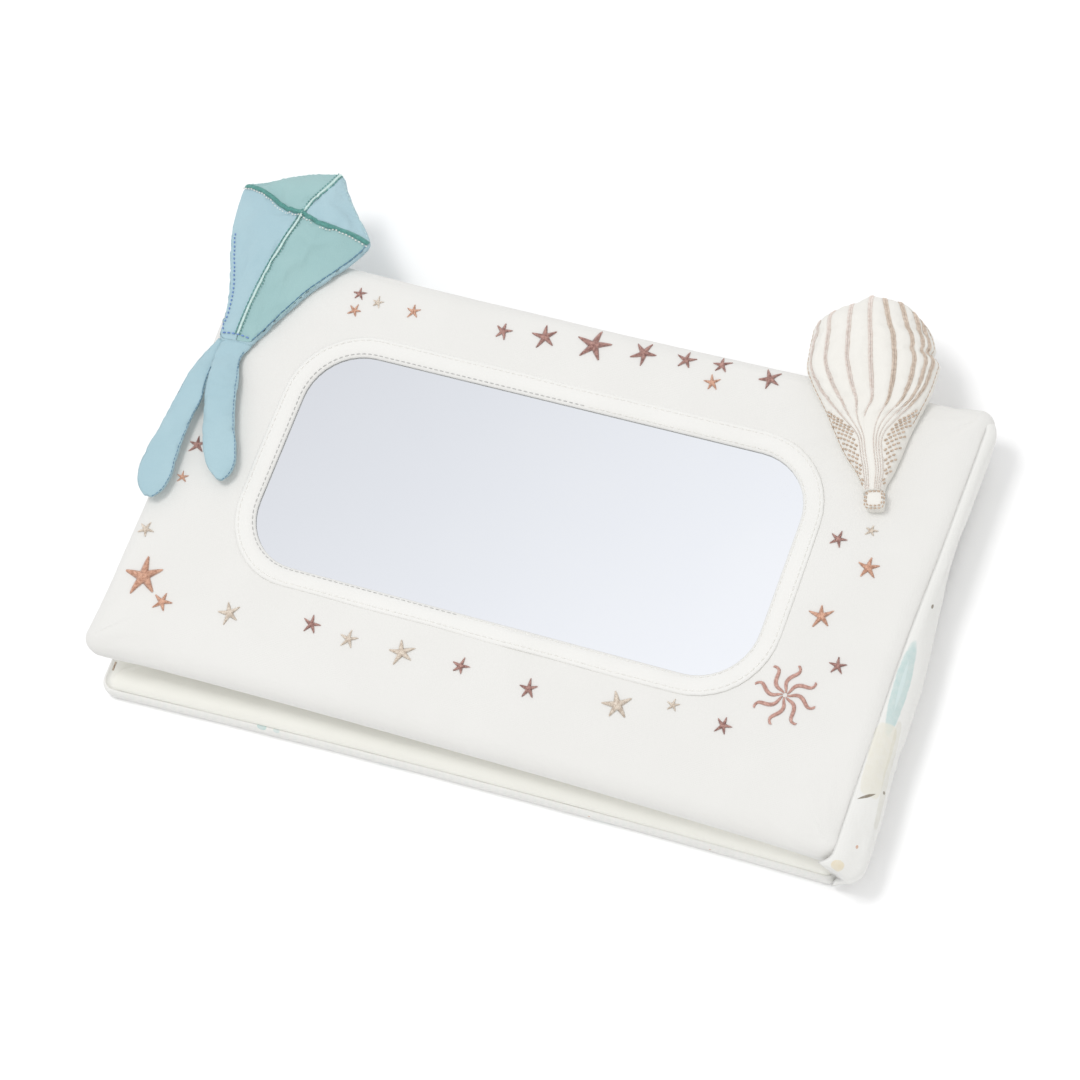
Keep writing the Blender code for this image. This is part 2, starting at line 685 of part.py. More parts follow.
def build_kite():
    """Four quarter panels over a stuffed body, a back with a side wall, and the corded cross."""
    corners, cross = kite_corners()
    radii = [KITE_CORNER_RADIUS / 2] + [KITE_CORNER_RADIUS] * 3 + [KITE_CORNER_RADIUS / 2]
    arc_steps, side_step = 2, 4
    outline = rounded_polygon(corners, radii, arc_steps, [side_step] * 5)
    stride = arc_steps + side_step
    right, tip, left = (stride * k + 1 for k in (1, 2, 3))
    waist = len(outline) - side_step // 2
    cord_ends = [outline[i] for i in (waist, right, tip, left)]

    def loop_at(ring, indices, drop=0.0, height=None):
        loop = []
        for i in indices:
            point = cross.lerp(outline[i % len(outline)], ring)
            level = height
            if height is None:
                level = kite_height(point, ring, cross, cord_ends) - drop
            loop.append(Vector((point.x, point.y, level)))
        return loop

    def shifted(loop, first, last):
        """Moves the two ends of a quarter's loop off the cords, by half a gap each."""
        for end, away in ((0, 1), (-1, -1)):
            run = (outline[(first if end == 0 else last) % len(outline)] - cross).normalized()
            loop[end] += Vector((-run.y, run.x, 0)) * (away * GAP)
        return loop

    quarters = (
        ("kite_quarter_lower_right", waist, len(outline) + right, GREEN),
        ("kite_quarter_upper_right", right, tip, BLUE),
        ("kite_quarter_upper_left", tip, left, GREEN),
        ("kite_quarter_lower_left", left, waist, BLUE),
    )
    for name, first, last, material in quarters:
        rays = range(first, last + 1)
        loops = [shifted(loop_at(ring, rays), first, last) for ring in KITE_RING_SHARES]
        mesh = surface(name, loops, closed=False)
        thicken(add_object(name, mesh, material, KITE), TOY_WALL)

    whole = range(len(outline))
    rim = -TOY_WALL - GAP
    tray = [
        loop_at(KITE_RING_SHARES[1], whole, height=-TOY_EDGE),
        loop_at(1.0, whole, height=rim - (TOY_EDGE + rim) / 2),
        loop_at(1.0, whole, height=rim),
    ]
    mesh = surface("kite_back", tray, cap_first=True)
    thicken(add_object("kite_back", mesh, BLUE, KITE), TOY_WALL)

    low = TOY_WALL + GAP - TOY_EDGE
    under = TOY_WALL + 3 * GAP
    filling = [loop_at(KITE_FILLING_SHARE, whole, height=low)]
    for ring in KITE_RING_SHARES[:-1]:
        filling.append(loop_at(ring * KITE_FILLING_SHARE, whole, drop=under))
    mesh = surface("kite_filling", filling, cap_first=True, cap_last=True)
    add_object("kite_filling", mesh, STUFFING, KITE)

    def cord_run(indices):
        points = []
        for i, rings in indices:
            for ring in rings:
                spot = loop_at(ring, [i])[0]
                points.append(spot + Vector((0, 0, KITE_CORD_RADIUS + GAP + KITE_CORD_LIFT)))
        return points

    inwards = KITE_RING_SHARES[1:-1]
    outwards = inwards[::-1]
    long_cord = tube("kite_cross_cord", cord_run(((tip, inwards), (waist, outwards))), KITE_CORD_RADIUS)
    cross_cord = tube("kite_cross_cutter", cord_run(((left, inwards), (right, outwards))), KITE_CORD_RADIUS)
    cord = mesh_of_curve(long_cord, CORD, KITE)
    other = mesh_of_curve(cross_cord, CORD, KITE, GUIDES)
    other.hide_render = True
    other.display_type = "WIRE"
    union = cord.modifiers.new("union", "BOOLEAN")
    union.operation = "UNION"
    union.object = other


def tube(name, points, radius):
    """A round cord along a list of points, with filled ends."""
    curve = bpy.data.curves.new(name, "CURVE")
    curve.dimensions = "3D"
    curve.bevel_depth = radius
    curve.bevel_resolution = 1
    curve.use_fill_caps = True
    spline = curve.splines.new("POLY")
    spline.points.add(len(points) - 1)
    for spot, point in zip(spline.points, points):
        spot.co = (*point, 1)
    body = bpy.data.objects.new(name, curve)
    PARTS.objects.link(body)
    return body


def mesh_of_curve(curve_object, material, parent, collection=None):
    """Makes a curve a mesh with its caps welded on, in place of the curve."""
    name = curve_object.name
    bpy.context.view_layer.update()
    evaluated = curve_object.evaluated_get(bpy.context.evaluated_depsgraph_get())
    mesh = bpy.data.meshes.new_from_object(evaluated)
    weld = bmesh.new()
    weld.from_mesh(mesh)
    bmesh.ops.remove_doubles(weld, verts=weld.verts, dist=GAP / 10)
    weld.to_mesh(mesh)
    weld.free()
    matrix = curve_object.matrix_world.copy()
    bpy.data.objects.remove(curve_object, do_unlink=True)
    body = bpy.data.objects.new(name, mesh)
    body.matrix_world = matrix
    (collection or PARTS).objects.link(body)
    body.parent = parent
    mesh.materials.clear()
    mesh.materials.append(material)
    return body


def build_tail(name, length, stations, parent):
    """A stuffed tail: flat oval sections that run towards -Y and rise off the panel from the waist."""
    loops = []
    for along, centre, width in stations:
        lift = math.sin(math.radians(90) * min(1.0, along / TAIL_LIFT_SHARE)) ** 2
        thickness = TOY_EDGE - GAP + (TAIL_THICKNESS - TOY_EDGE) * lift
        slim = min(1.0, TAIL_SLIM_SHARE + (1 - TAIL_SLIM_SHARE) * width)
        middle = TAIL_RISE * lift - TOY_EDGE / 2
        loop = []
        for i in range(TAIL_SIDES):
            angle = math.radians(360) * i / TAIL_SIDES
            x = TAIL_WIDTH * (centre + width / 2 * math.cos(angle))
            z = middle + thickness / 2 * slim * math.sin(angle)
            loop.append(Vector((x, -length * along, z)))
        loops.append(loop)
    mesh = surface(name, loops, cap_first=True, cap_last=True)
    add_object(name, mesh, BLUE, parent)


def balloon_row(along):
    """Half width and envelope share at a place along the balloon, read between the hand-chosen rows."""
    rows = BALLOON_SHARES
    for low, high in zip(rows, rows[1:]):
        if along <= high[0]:
            mix = (along - low[0]) / (high[0] - low[0])
            return [a + (b - a) * mix for a, b in zip(low[1:], high[1:])]
    return list(rows[-1][1:])


def balloon_point(along, share, lobe=0.0):
    """A point of the balloon's face: share runs from -1 to 1 over the full width."""
    half_share, _ = balloon_row(along)
    half = BALLOON_WIDTH / 2 * half_share
    crown = BALLOON_CROWN * half_share**0.8
    x = half * share - BALLOON_BEND * along**2
    z = crown * max(0.0, 1 - share**2) ** PUFF_SHARE + lobe * half_share
    return Vector((x, BALLOON_LENGTH * along, z))


def balloon_out(along, share, distance):
    """A point over the balloon's face, at a distance along the face's normal."""
    step = SLOPE_STEP_SHARE / 2
    sideways = balloon_point(along, share + step) - balloon_point(along, share - step)
    ahead = balloon_point(along + step, share) - balloon_point(along - step, share)
    return balloon_point(along, share) + sideways.cross(ahead).normalized() * distance


def rib_share(number):
    """The place of a rib over the envelope, evenly spread about its middle."""
    return RIB_REACH_SHARE * (2 * number / (BALLOON_RIBS - 1) - 1)


def build_balloon():
    """A lobed face, a back with a side wall, stuffing, corded ribs, two nets and the basket."""
    alongs = [row[0] for row in BALLOON_SHARES]
    half_lobe = (rib_share(1) - rib_share(0)) / 2
    columns = []
    for number in range(BALLOON_RIBS):
        columns.append((rib_share(number), 0.0))
        if number < BALLOON_RIBS - 1:
            columns.append((rib_share(number) + half_lobe, 1.0))
    loops = []
    for along in alongs:
        _, envelope = balloon_row(along)
        fade = max(0.0, min(1.0, (envelope - 0.35) / 0.4))
        side = (1 + envelope) / 2
        row = [balloon_point(along, -1.0), balloon_point(along, -side)]
        for share, lobe in columns:
            row.append(balloon_point(along, share * envelope, BALLOON_LOBE * lobe * fade))
        row += [balloon_point(along, side), balloon_point(along, 1.0)]
        loops.append(row)
    mesh = surface("balloon_front", loops, closed=False)
    thicken(add_object("balloon_front", mesh, CREAM, BALLOON), TOY_WALL)

    outline = [balloon_point(along, 1.0) for along in alongs]
    outline += [balloon_point(along, -1.0) for along in alongs[::-1]]
    centre = balloon_point(BALLOON_CENTRE_SHARE, 0.0)

    def loop_at(ring, height, centred=centre):
        return [
            Vector((*centred.xy.lerp(point.xy, ring), height)) for point in outline
        ]

    rim = -TOY_WALL - GAP
    tray = [
        loop_at(BALLOON_FOOT_SHARE, -TOY_EDGE),
        loop_at(1.0, rim - (TOY_EDGE + rim) / 2),
        loop_at(1.0, rim),
    ]
    mesh = surface("balloon_back", tray, cap_first=True)
    thicken(add_object("balloon_back", mesh, CREAM, BALLOON), TOY_WALL)

    widest = BALLOON_FILLING_SHARES[0]
    filling = [loop_at(widest, TOY_WALL + GAP - TOY_EDGE), loop_at(widest, 0.0)]
    for ring in BALLOON_FILLING_SHARES[1:]:
        level = BALLOON_CROWN * (1 - ring**2) ** 1.2 - TOY_WALL - 4 * GAP
        filling.append(loop_at(ring, level * (1 - ring / 2)))
    mesh = surface("balloon_filling", filling, cap_first=True, cap_last=True)
    add_object("balloon_filling", mesh, STUFFING, BALLOON)

    stand_off = BALLOON_RIB_RADIUS + 2 * GAP
    for number in range(BALLOON_RIBS):
        first, last = MIDDLE_RIB_SHARES if number == BALLOON_RIBS // 2 else RIB_SHARES
        spots = [along for along in alongs if first <= along < last]
        points = []
        for along in spots:
            _, envelope = balloon_row(along)
            points.append(balloon_out(along, rib_share(number) * envelope, stand_off))
        rib = tube(f"balloon_rib_{number + 1}", points, BALLOON_RIB_RADIUS)
        mesh_of_curve(rib, TAN, BALLOON)

    for side, sign in (("left", -1), ("right", 1)):
        rows = []
        for along in [along for along in alongs if NET_SHARES[0] < along < NET_SHARES[1]]:
            _, envelope = balloon_row(along)
            shares = [envelope + (1 - envelope) * step for step in NET_ACROSS_SHARES]
            row = [balloon_out(along, sign * share, 2 * GAP) for share in shares]
            rows.append(row if sign > 0 else row[::-1])
        mesh = surface(f"balloon_net_{side}", rows, closed=False)
        thicken(add_object(f"balloon_net_{side}", mesh, TAN, BALLOON), NET_WALL, 1.0)

    block = bmesh.new()
    bmesh.ops.create_cube(block, size=1.0)
    low, high = -TOY_EDGE, BASKET_RISE
    size = Vector((BASKET_WIDTH, BASKET_LENGTH, high - low))
    for corner in block.verts:
        corner.co = Vector((a * b for a, b in zip(corner.co, size)))
        corner.co += Vector((0, BASKET_LENGTH / 2, (low + high) / 2))
    mesh = bpy.data.meshes.new("balloon_basket")
    block.to_mesh(mesh)
    block.free()
    basket = add_object("balloon_basket", mesh, TAN, BALLOON)
    bevel = basket.modifiers.new("edges", "BEVEL")
    bevel.width = BASKET_BEVEL
    bevel.segments = 2


clear_scene()
PARTS = new_collection("folding_baby_mirror")
GUIDES = new_collection("cutters")

LINEN = finish("off_white_linen", (0.83, 0.81, 0.76), 0.9)
PRINT = finish("printed_cotton", (0.80, 0.79, 0.72), 0.9)
FOAM = finish("foam", (0.85, 0.84, 0.80), 0.95)
BOARD = finish("stiffening_board", (0.55, 0.45, 0.33), 0.8)
MIRROR = finish("acrylic_mirror", (0.86, 0.88, 0.92), 0.04, 1.0)
GREEN = finish("kite_green", (0.22, 0.45, 0.43), 0.85)
BLUE = finish("kite_blue", (0.25, 0.46, 0.58), 0.85)
CORD = finish("satin_cord", (0.08, 0.25, 0.26), 0.5)
STUFFING = finish("stuffing", (0.88, 0.88, 0.86), 0.95)
CREAM = finish("cream_cotton", (0.78, 0.73, 0.62), 0.9)
TAN = finish("tan_thread", (0.45, 0.29, 0.19), 0.6)
THREADS = {
    "rose": finish("rose_thread", (0.30, 0.14, 0.11), 0.5),
    "copper": finish("copper_thread", (0.58, 0.26, 0.14), 0.5),
    "sand": finish("sand_thread", (0.62, 0.50, 0.36), 0.5),
}

SPINE = empty_at("lower_fold", Matrix.Translation(LOWER_FOLD))
MIRROR_TURN = Matrix.Rotation(MIRROR_YAW, 4, "Z") @ Matrix.Rotation(MIRROR_TILT, 4, "Y")
MIRROR_PANEL = empty_at("upper_fold", Matrix.Translation(UPPER_FOLD - LOWER_FOLD) @ MIRROR_TURN, SPINE)
WAIST = Matrix.Translation(KITE_WAIST_PLACE - UPPER_FOLD_IN_PANEL)
KITE = empty_at("kite_seam", WAIST, MIRROR_PANEL)
TAIL_LEFT = empty_at("tail_left_seam", WAIST, MIRROR_PANEL)
TAIL_RIGHT = empty_at("tail_right_seam", WAIST, MIRROR_PANEL)
BALLOON = empty_at(
    "balloon_seam",
    Matrix.Translation(BALLOON_PLACE - UPPER_FOLD_IN_PANEL) @ Matrix.Rotation(BALLOON_LEAN, 4, "Z"),
    MIRROR_PANEL,
)

build_base()
build_spine()
build_mirror_panel()
build_stars()
build_sun()
build_kite()
build_tail("kite_tail_left", TAIL_LEFT_LENGTH, TAIL_LEFT_SHARES, TAIL_LEFT)
build_tail("kite_tail_right", TAIL_RIGHT_LENGTH, TAIL_RIGHT_SHARES, TAIL_RIGHT)
build_balloon()
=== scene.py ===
# %% [markdown]
# # A folding baby mirror, sewn like a small book
# The real object is two padded fabric panels joined by a spine. The upper panel holds a mirror behind
# a sewn binding, embroidered stars and a sun, and a stuffed kite and a stuffed balloon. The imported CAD
# model gives each piece its place. Each step below dresses one piece with the shape and finish that
# sewing gives it.

import math

import bpy
import numpy as np
from mathutils import Matrix, Vector
from mathutils.bvhtree import BVHTree


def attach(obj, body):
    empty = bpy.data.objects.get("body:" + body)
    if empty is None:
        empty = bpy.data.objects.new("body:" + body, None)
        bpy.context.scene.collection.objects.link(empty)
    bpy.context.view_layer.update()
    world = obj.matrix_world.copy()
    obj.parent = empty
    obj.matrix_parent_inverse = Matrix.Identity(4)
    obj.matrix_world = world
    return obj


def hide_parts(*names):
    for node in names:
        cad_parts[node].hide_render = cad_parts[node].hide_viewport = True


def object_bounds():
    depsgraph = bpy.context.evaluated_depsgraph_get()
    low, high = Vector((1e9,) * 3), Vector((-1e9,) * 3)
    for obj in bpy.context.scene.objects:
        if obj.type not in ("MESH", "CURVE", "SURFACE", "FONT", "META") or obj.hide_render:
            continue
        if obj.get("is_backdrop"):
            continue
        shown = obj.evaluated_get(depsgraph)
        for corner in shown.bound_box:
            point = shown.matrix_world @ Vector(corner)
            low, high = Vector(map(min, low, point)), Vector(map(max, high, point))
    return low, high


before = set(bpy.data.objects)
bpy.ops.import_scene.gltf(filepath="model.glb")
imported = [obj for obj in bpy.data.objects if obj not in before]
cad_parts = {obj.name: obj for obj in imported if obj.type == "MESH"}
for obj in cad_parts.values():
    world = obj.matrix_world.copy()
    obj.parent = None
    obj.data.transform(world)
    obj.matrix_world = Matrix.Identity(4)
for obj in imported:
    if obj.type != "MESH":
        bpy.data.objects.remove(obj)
CAD_BOX = [list(corner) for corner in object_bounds()]

# %% [markdown]
# ## The sizes that the shapes share
# A cushion cover is cut from a pattern, and every piece repeats the same few sizes. They are written
# once here, in metres, and nearly all are the ones that the CAD model uses. The upper panel lies a
# little turned and tilted on the lower one, so its pieces are drawn flat in the panel's own frame and
# then moved.

# %% Sizes and the upper panel's place
MM = 0.001
PANEL_LENGTH, PANEL_WIDTH, PANEL_THICKNESS = 0.300, 0.175, 0.014
BASE_LENGTH = 0.295
BASE_SEAM, BASE_FLARE = 0.0065, 0.0016
CORNER, ROLL, DRAW_IN, UPRIGHT = 0.0062, 0.006, 0.0016, 0.15
HALF = PANEL_THICKNESS / 2
WINDOW_LOW = (0.0474 - PANEL_LENGTH / 2, 0.0502 - PANEL_WIDTH / 2)
WINDOW_HIGH = (PANEL_LENGTH / 2 - 0.0527, PANEL_WIDTH / 2 - 0.0365)
WINDOW_CORNER = 0.022
TOY_SEAM, TOY_BACK = 0.0113, -3.7 * MM
LOWER_FOLD = Vector((0.1478, 0, 0.003))
UPPER_FOLD = Vector((0.14989, 0.0023, 0.0272))
UPPER_FOLD_IN_PANEL = Vector((0.14879, 0, 0.005))
YAW, TILT = math.radians(-1.0), math.radians(1.34)
KITE_SEAT, BALLOON_SEAT = (-0.1355, 0.043, TOY_SEAM), (0.123, 0.0372, TOY_SEAM)
BALLOON_TURN = math.radians(15)

PANEL_FRAME = (
    Matrix.Translation(UPPER_FOLD)
    @ Matrix.Rotation(YAW, 4, "Z")
    @ Matrix.Rotation(TILT, 4, "Y")
    @ Matrix.Translation(-UPPER_FOLD_IN_PANEL)
)
KITE_FRAME = PANEL_FRAME @ Matrix.Translation(KITE_SEAT)
BALLOON_FRAME = PANEL_FRAME @ Matrix.Translation(BALLOON_SEAT) @ Matrix.Rotation(BALLOON_TURN, 4, "Z")


def moved(points, matrix):
    """Each point turned and shifted by a 4 x 4 matrix."""
    matrix = np.array(matrix)
    return points @ matrix[:3, :3].T + matrix[:3, 3]


def unit(vectors):
    """Each vector divided by its length."""
    return vectors / np.linalg.norm(vectors, axis=-1, keepdims=True)


panel_centre = moved(np.zeros((1, 3)), PANEL_FRAME)
print("upper panel's centre in the world, mm:", np.round(panel_centre * 1000, 1))

# %% [markdown]
# ## The camera, the floor and the light
# The photograph looks down on the book from its near right, with the camera rolled, and a long lens.
# The light is a large soft box from the upper left, a faint one against it and pale walls all round,
# which leaves a soft shadow at the lower right. The mirror shows those walls, so the world carries a
# slow change from grey to white: a mirror has no look of its own, only what it reflects.

# %% The camera
CAMERA_TURN, CAMERA_RISE, CAMERA_ROLL = math.radians(47.9), math.radians(63.1), math.radians(-30.1)
CAMERA_DISTANCE, LOOKS_AT = 1.242, Vector((0.0048, -0.0003, 0))
FOCAL_PIXELS, IMAGE_PIXELS, SENSOR_WIDTH = 3394, 1080, 36

back = Vector(
    (
        math.sin(CAMERA_TURN) * math.cos(CAMERA_RISE),
        -math.cos(CAMERA_TURN) * math.cos(CAMERA_RISE),
        math.sin(CAMERA_RISE),
    )
)
level_right = (-back).cross(Vector((0, 0, 1))).normalized()
level_up = level_right.cross(-back)
right = level_right * math.cos(CAMERA_ROLL) + level_up * math.sin(CAMERA_ROLL)
up = -level_right * math.sin(CAMERA_ROLL) + level_up * math.cos(CAMERA_ROLL)
spot = LOOKS_AT + back * CAMERA_DISTANCE
turn = Matrix((right, up, back)).transposed().to_4x4()


def add(name, data):
    """A new object in the scene."""
    made = bpy.data.objects.new(name, data)
    bpy.context.scene.collection.objects.link(made)
    return made


camera = add("camera", bpy.data.cameras.new("camera"))
camera.data.sensor_width = SENSOR_WIDTH
camera.data.lens = SENSOR_WIDTH * FOCAL_PIXELS / IMAGE_PIXELS
camera.data.clip_start = 0.05
camera.matrix_world = PANEL_FRAME @ Matrix.Translation(spot) @ turn
bpy.context.scene.camera = camera
bpy.context.scene.view_settings.view_transform = "Standard"
IMAGE_RIGHT = (PANEL_FRAME.to_3x3() @ right).normalized()
IMAGE_UP = (PANEL_FRAME.to_3x3() @ up).normalized()
print("camera at", np.round(camera.matrix_world.translation, 3), "lens", round(camera.data.lens, 1))

# %% [markdown]
# ## Finishes: one small class for shader maths
# A finish is a graph of nodes. Writing each node by hand hides the idea, so a small class wraps an
# output, and ordinary arithmetic on it adds the Math nodes. Every cloth then reads like a formula:
# threads one way plus threads the other way, with a little noise so that no two are alike.

# %% The class that writes the nodes
class Signal:
    """An output of a node in a material, on which arithmetic adds Math nodes."""

    def __init__(self, tree, socket):
        self.tree = tree
        self.socket = socket

    def node(self, kind, settings=None, inputs=None, output=0):
        """Adds a node of a type, sets its settings, then gives its sockets values or links."""
        made = self.tree.nodes.new(kind)
        for key, value in (settings or {}).items():
            setattr(made, key, value)
        for key, value in (inputs or {}).items():
            if isinstance(value, Signal):
                self.tree.links.new(value.socket, made.inputs[key])
            else:
                made.inputs[key].default_value = value
        return Signal(self.tree, made.outputs[output])

    def maths(self, operation, *values):
        """A Math node with its values in order."""
        return self.node("ShaderNodeMath", {"operation": operation}, dict(enumerate(values)))

    def __add__(self, other):
        return self.maths("ADD", self, other)

    def __mul__(self, other):
        return self.maths("MULTIPLY", self, other)

    def __sub__(self, other):
        return self.maths("SUBTRACT", self, other)

    def __rsub__(self, other):
        return self.maths("SUBTRACT", other, self)

    __radd__ = __add__
    __rmul__ = __mul__

    def sine(self):
        return self.maths("SINE", self)

    def power(self, exponent):
        """The size of this signal, without its sign, to a power."""
        return self.maths("POWER", self.maths("ABSOLUTE", self), exponent)

    def between(self, low, high):
        """A smooth step from 0 at low to 1 at high."""
        settings = {"interpolation_type": "SMOOTHSTEP"}
        return self.node("ShaderNodeMapRange", settings, {0: self, 1: low, 2: high})

    def tint(self, first, second):
        """A colour that goes from first to second as this signal goes from 0 to 1."""
        settings = {"data_type": "RGBA"}
        inputs = {0: self, 6: colour_of(first), 7: colour_of(second)}
        return self.node("ShaderNodeMix", settings, inputs, 2)


def colour_of(value):
    """A socket's colour: three numbers get the full alpha, and a signal is passed on."""
    return value if isinstance(value, Signal) else (*value, 1.0)


def start_finish(name, roughness, metallic=0.0, sheen=0.0):
    """A material with its constants on the shader itself. Returns it, its shader and the place signal,
    which is the object's coordinates in millimetres."""
    material = bpy.data.materials.new(name)
    material.use_nodes = True
    tree = material.node_tree
    shader = tree.nodes["Principled BSDF"]
    shader.inputs["Roughness"].default_value = roughness
    shader.inputs["Metallic"].default_value = metallic
    shader.inputs["Sheen Weight"].default_value = sheen
    shader.inputs["Sheen Roughness"].default_value = 0.6
    place = Signal(tree, tree.nodes.new("ShaderNodeTexCoord").outputs["Object"])
    place = place.node("ShaderNodeVectorMath", {"operation": "SCALE"}, {0: place, "Scale": 1000.0})
    return material, shader, place


def noise(place, scale, detail=2.0):
    """Smooth noise between 0 and 1, scale being how many lumps there are in a millimetre."""
    return place.node("ShaderNodeTexNoise", None, {"Vector": place, "Scale": scale, "Detail": detail})


def axes(place):
    """The three coordinates of a place as signals."""
    split = place.node("ShaderNodeSeparateXYZ", None, {0: place})
    outputs = split.socket.node.outputs
    return [Signal(place.tree, outputs[i]) for i in range(3)]


def dot(place, vector):
    """How far a place is along a fixed direction."""
    settings = {"operation": "DOT_PRODUCT"}
    return place.node("ShaderNodeVectorMath", settings, {0: place, 1: tuple(vector)}, 1)


def connect(shader, socket, signal):
    """Links a signal to a socket of the shader."""
    signal.tree.links.new(signal.socket, shader.inputs[socket])


def bump(shader, height, strength, distance):
    """Makes a height signal tilt the surface: distance is how deep its whole range is, in metres."""
    inputs = {"Height": height, "Strength": strength, "Distance": distance}
    connect(shader, "Normal", height.node("ShaderNodeBump", None, inputs))


print("finishes can be written now")

# %% [markdown]
# ## Woven cloth
# Linen and cotton are threads over and under each other. Two sines at right angles, one for the warp
# and one for the weft, give the weave. Height is added to both axes so that the same weave also covers
# the sides of a panel. Slow noise shifts the threads, which makes the slubs of linen.

# %% Woven finishes
def weave(place, pitch, slub):
    """Height of a plain weave: sin(2 pi a / pitch) + sin(2 pi b / pitch), where noise shifts a and b."""
    x, y, z = axes(place)
    drift = (noise(place, 0.35) - 0.5) * slub
    across = (x + z * 0.7 + drift) * (2 * math.pi / pitch)
    along = (y + z * 0.7 - drift) * (2 * math.pi / pitch)
    return (across.sine() + along.sine()) * 0.25 + 0.5


def weave_and_painted_shade(place, pitch=0.62, slub=1.2):
    """A weave's height with its fibres, and how bright each place of it is: its valleys are darker, which
    is painted shade, and so are slow patches, which vary its tone at random."""
    threads, fibres = weave(place, pitch, slub), noise(place, 2.4, 3.0)
    patches = noise(place, 0.045, 3.0).between(0.35, 0.7)
    # The second value darkens the weave's valleys in colour, which is painted shade, plus random tone.
    return threads * 0.6 + fibres * 0.4, threads * 0.35 + patches * 0.25 + fibres * 0.4


def cloth(name, colour, shade, pitch=0.62, slub=1.2, depth=0.06 * MM, sheen=0.15):
    """Plain woven cloth, which goes from its shade to its colour, with painted shade in the weave's
    valleys.
    """
    material, shader, place = start_finish(name, 0.9, sheen=sheen)
    height, tone_and_painted_shade = weave_and_painted_shade(place, pitch, slub)
    # The shade colour falls in the weave's valleys: painted shade.
    connect(shader, "Base Color", tone_and_painted_shade.tint(shade, colour))
    bump(shader, height, 0.7, depth)
    return material


LINEN = cloth("off_white_linen", (0.777, 0.770, 0.744), (0.735, 0.727, 0.700))
# The lower pad's linen is lighter and yellower than the upper cover's: painted light and a painted warm
# shade tint, for the band of it that is seen in shade under the upper panel.
PAD_LINEN_PAINTED_SHADE_TINT = cloth("pad_linen_painted_shade_tint", (0.885, 0.878, 0.815), (0.840, 0.832, 0.765))
BINDING = cloth("binding_linen", (0.815, 0.809, 0.784), (0.773, 0.766, 0.738), depth=0.05 * MM)
CREAM = cloth("cream_cotton", (0.825, 0.810, 0.765), (0.770, 0.750, 0.700), 0.5)
GREEN = cloth("kite_green", (0.372, 0.552, 0.550), (0.284, 0.462, 0.468), 0.5, 2.0, sheen=0.1)
BLUE = cloth("kite_blue", (0.432, 0.592, 0.640), (0.335, 0.498, 0.562), 0.5, 2.0, sheen=0.1)
PRINT, print_shader, print_place = start_finish("printed_cotton", 0.9, sheen=0.15)
print("cloths:", LINEN.name, BINDING.name, CREAM.name, GREEN.name, BLUE.name)

# %% [markdown]
# ## Threads, the mirror and the board
# Embroidery thread is two twisted strands with a silky shine: its height varies in short bands, and its
# colour goes between painted shade and painted sheen in them. The mirror is aluminium behind clear
# acrylic:
# a smooth metal with a faint blue tint. The board inside the panels is pressed grey paper.

# %% Finishes of the threads and the hard pieces
def thread(name, colour, shade, roughness=0.42):
    """Twisted thread: fine noise bands between its shade and its colour, which are painted shade and
    painted sheen.
    """
    material, shader, place = start_finish(name, roughness, sheen=0.3)
    # These bands are painted light: the shade colour stands for shade and the colour for sheen on the
    # strands.
    painted_sheen_and_shade = (noise(place, 3.0) * 0.5 + noise(place, 0.9) * 0.5).between(0.36, 0.64)
    connect(shader, "Base Color", painted_sheen_and_shade.tint(shade, colour))
    bump(shader, noise(place, 7.0), 0.5, 0.05 * MM)
    return material


# Each thread is a colour and a darker shade of it, and its noise bands between them paint shade and
# sheen.
THREADS = {
    "rose": thread("rose_thread", (0.560, 0.320, 0.270), (0.230, 0.095, 0.080)),
    "blush": thread("blush_thread", (0.700, 0.430, 0.360), (0.440, 0.220, 0.175)),
    "copper": thread("copper_thread", (0.790, 0.480, 0.340), (0.440, 0.200, 0.120)),
    "sand": thread("sand_thread", (0.850, 0.760, 0.650), (0.540, 0.440, 0.350)),
    # The tan thread is darker than pale_tan on the same ribs: painted shade in the grooves of the right
    # ribs.
    "tan": thread("tan_thread", (0.780, 0.670, 0.570), (0.540, 0.430, 0.340)),
    "brown": thread("brown_thread", (0.690, 0.540, 0.420), (0.410, 0.300, 0.210)),
    "pale_tan": thread("pale_tan_thread", (0.870, 0.800, 0.750), (0.720, 0.610, 0.540)),
    "cream": thread("cream_thread", (0.880, 0.865, 0.825), (0.800, 0.785, 0.740), 0.6),
    # The grey thread is painted shade: it is the cream binding stitch where that lies in shade.
    "grey": thread("grey_thread_painted_shade", (0.560, 0.555, 0.540), (0.430, 0.425, 0.415), 0.6),
    "blue": thread("blue_thread", (0.160, 0.300, 0.640), (0.100, 0.200, 0.500)),
    "deep": thread("deep_blue_thread", (0.110, 0.260, 0.400), (0.060, 0.160, 0.280)),
    "teal": thread("teal_cord", (0.105, 0.350, 0.310), (0.055, 0.240, 0.215)),
    "mint": thread("mint_cord", (0.680, 0.850, 0.810), (0.540, 0.740, 0.700)),
}

MIRROR, shader, place = start_finish("acrylic_mirror", 0.035, metallic=1.0)
haze = noise(place, 0.02, 2.0)
connect(shader, "Base Color", haze.tint((0.900, 0.920, 0.950), (0.930, 0.945, 0.965)))

BOARD, shader, place = start_finish("stiffening_board", 0.85)
pulp = noise(place, 0.8, 5.0)
connect(shader, "Base Color", pulp.tint((0.36, 0.31, 0.25), (0.56, 0.49, 0.40)))
bump(shader, pulp, 0.5, 0.1 * MM)
print(len(THREADS), "threads, mirror and board")

# %% The mirror sheet and the boards keep their own shape
for node_name, material in (("mirror_sheet", MIRROR), ("mirror_board", BOARD), ("base_board", BOARD)):
    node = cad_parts[node_name]
    node.data.materials.clear()
    node.data.materials.append(material)
    print(node_name, "gets", material.name)

